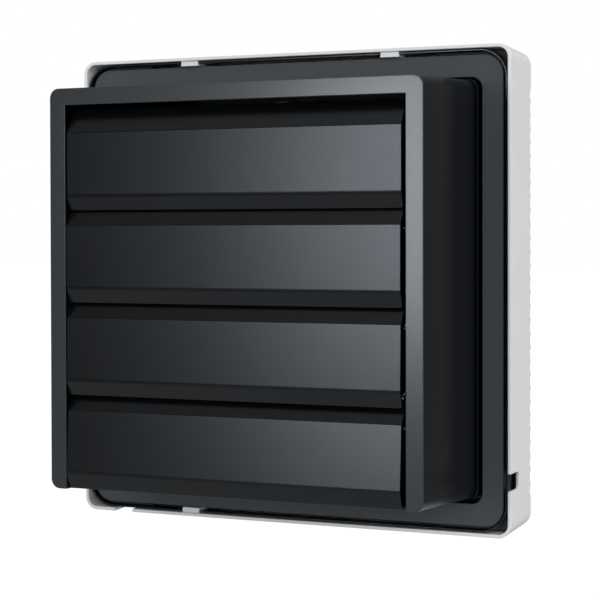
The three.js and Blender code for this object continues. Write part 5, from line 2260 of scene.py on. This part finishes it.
@dataclass
class Camera:
    """The photograph's camera, in metres and degrees."""

    place: Place = (-0.5062, 1.0636, 0.0376)
    focal_pixels: float = 1844.0
    turn: float = 25.1
    dip: float = 1.0
    roll: float = -0.116
    middle_row: float = 261.8
    sensor: float = 36.0

    def build(self) -> None:
        """Makes the camera and looks through it."""
        data = bpy.data.cameras.new("camera")
        data.sensor_width = self.sensor
        data.lens = self.focal_pixels / PHOTO_SIZE * self.sensor
        data.shift_y = (self.middle_row - PHOTO_SIZE / 2) / PHOTO_SIZE
        camera = new_object("camera", data)
        level = (-direction(-self.turn, self.dip)).to_track_quat("-Z", "Y")
        roll = Matrix.Rotation(math.radians(self.roll), 4, "Z").to_quaternion()
        stand(camera, self.place, level @ roll)
        bpy.context.scene.camera = camera


@dataclass
class Softbox:
    """A rectangular studio lamp aimed at the fan, in metres, degrees and watts."""

    name: str
    azimuth: float
    elevation: float
    distance: float
    width: float
    height: float
    power: float
    colour: Colour = (1.0, 1.0, 1.0)

    def build(self) -> None:
        """Makes the lamp. Azimuth 0 is straight outdoors, and positive turns towards +X."""
        back = direction(self.azimuth, self.elevation)
        data = bpy.data.lights.new(self.name, "AREA")
        data.shape = "RECTANGLE"
        data.size, data.size_y = self.width, self.height
        data.energy = self.power
        data.color = self.colour
        lamp = new_object(self.name, data)
        stand(lamp, back * self.distance, (-back).to_track_quat("-Z", "Y"))


def ray_signals(nodes: NodeBuilder) -> list[Signal]:
    """1 for what the camera sees straight, and 1 for what shows in reflections."""
    path = nodes.node("ShaderNodeLightPath")
    return [nodes.signal(path, kind) for kind in ("Is Camera Ray", "Is Glossy Ray")]


@dataclass
class Studio:
    """White surroundings for the camera, dim ones for reflections, a floor and two lamps."""

    floor_height: float = -0.42
    floor_size: float = 40.0
    floor_shade: float = 0.38
    floor_glow: float = 0.75  # added for the camera alone, so that the bare floor is white
    floor_painted_pool: float = 0.5  # the floor's shade in reflections near the fan, a painted pool of light
    painted_pool_reach: Span = (0.7, 1.8)  # distances over which the painted pool of light fades into the surroundings' shade
    sky: float = 1.0
    sky_tilt: float = 0.35  # how much brighter the sky is on the right, and darker on the left
    sky_fall: float = 0.3  # how much darker the sky is overhead, and brighter low down
    mirrored_front: float = 0.02  # the surroundings in reflections, outdoors of the fan
    mirrored_back: float = 0.115  # behind it
    mirrored_top: float = 0.8  # and overhead
    mirrored_turn: Span = (-0.3, 0.3)  # from behind the fan to outdoors of it, along Y
    mirrored_rise: Span = (0.6, 1.0)  # from level to overhead, along Z
    lamps: list[Softbox] = field(
        default_factory=lambda: [
            Softbox("strip_box", 17.95, 3.76, 2.4, 0.3, 0.637, 7.25, (0.97, 1.0, 1.03)),
            Softbox("side_box", -50.0, 15.0, 2.6, 1.2, 1.2, 11.0),
        ]
    )

    def mirrored_level(self, ahead: Signal) -> Signal:
        """The level surroundings' shade in reflections, by how far outdoors something is."""
        return ahead.mapped(*self.mirrored_turn, self.mirrored_back, self.mirrored_front)

    def build_world(self) -> None:
        """White where the camera sees it, softly uneven for light and darker for reflections."""
        world = bpy.data.worlds.new("studio")
        bpy.context.scene.world = world
        nodes = NodeBuilder(emptied_tree(world))
        seen, glossy = ray_signals(nodes)
        direction = nodes.node("ShaderNodeTexCoord").outputs["Generated"]
        parts = nodes.node("ShaderNodeSeparateXYZ", None, {0: direction})
        left, ahead, up = (nodes.signal(parts, axis.value) for axis in Axis)
        sky = self.sky - self.sky_tilt * left - self.sky_fall * up
        level = self.mirrored_level(ahead)
        mirrored = level + (self.mirrored_top - level) * up.mapped(*self.mirrored_rise)
        strength = sky + (mirrored - sky) * glossy
        inputs = {"Color": WHITE, "Strength": strength * (1 - seen) + seen}
        background = nodes.node("ShaderNodeBackground", None, inputs)
        nodes.node("ShaderNodeOutputWorld", None, {"Surface": background.outputs[0]})

    def build_floor(self) -> None:
        """A pale floor below the fan that the camera sees as white but for the shadow, with a pool
        of light painted on it in reflections near the fan.
        """
        half = self.floor_size / 2
        mesh = bpy.data.meshes.new("floor")
        corners = [(-half, -half), (half, -half), (half, half), (-half, half)]
        mesh.from_pydata([(x, y, self.floor_height) for x, y in corners], [], [(0, 1, 2, 3)])
        material = bpy.data.materials.new("floor_paper")
        nodes = NodeBuilder(emptied_tree(material))
        seen, glossy = ray_signals(nodes)
        place = nodes.node("ShaderNodeTexCoord").outputs["Object"]
        away = nodes.node("ShaderNodeVectorMath", {"operation": "LENGTH"}, {0: place})
        ahead = nodes.signal(nodes.node("ShaderNodeSeparateXYZ", None, {0: place}), Axis.Y.value)
        # In reflections the floor has a painted pool of light near the fan, which fades into
        # painted surroundings that are darker outdoors of the fan and paler behind it.
        level = self.mirrored_level(ahead)
        fade = nodes.signal(away, "Value").mapped(*self.painted_pool_reach)
        mirrored = self.floor_painted_pool + (level - self.floor_painted_pool) * fade
        shade = self.floor_shade + (mirrored - self.floor_shade) * glossy
        grey = nodes.node("ShaderNodeCombineColor", None, {0: shade, 1: shade, 2: shade})
        paper = nodes.node("ShaderNodeBsdfDiffuse", None, {"Color": grey.outputs[0]})
        light = {"Color": WHITE, "Strength": seen * self.floor_glow}
        glow = nodes.node("ShaderNodeEmission", None, light)
        both = nodes.node("ShaderNodeAddShader", None, {0: paper.outputs[0], 1: glow.outputs[0]})
        nodes.node("ShaderNodeOutputMaterial", None, {"Surface": both.outputs[0]})
        mesh.materials.append(material)
        floor = new_object("floor", mesh)

    def build(self) -> None:
        """Makes the world, the floor and the lamps."""
        self.build_world()
        self.build_floor()
        for lamp in self.lamps:
            lamp.build()
        bpy.context.scene.view_settings.view_transform = "Standard"


def main() -> None:
    """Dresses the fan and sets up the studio."""
    logging.basicConfig(level=logging.INFO, format="%(message)s")
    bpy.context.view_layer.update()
    dress_cad_nodes()
    box, flaps, housing = LouvreBox(), LouvreFlaps(), Housing()
    cable, panel = CableEntry(), FrontPanel()
    box.build(housing, flaps, cable)
    flaps.build(box)
    housing.build(box, cable, panel)
    panel.build(housing, cable)
    plate = OrificePlate(housing, box)
    terminals, capacitor = TerminalBox(plate, box, cable), Capacitor(plate, box)
    impeller = Impeller(plate)
    motor = Motor(plate, impeller)
    plate.build(terminals, capacitor)
    impeller.build()
    motor.build()
    terminals.build()
    capacitor.build()
    Leads(housing, cable, motor, terminals).build()
    Screws().build(plate, motor, terminals, capacitor)
    Camera().build()
    Studio().build()


if __name__ == "__main__":
    main()
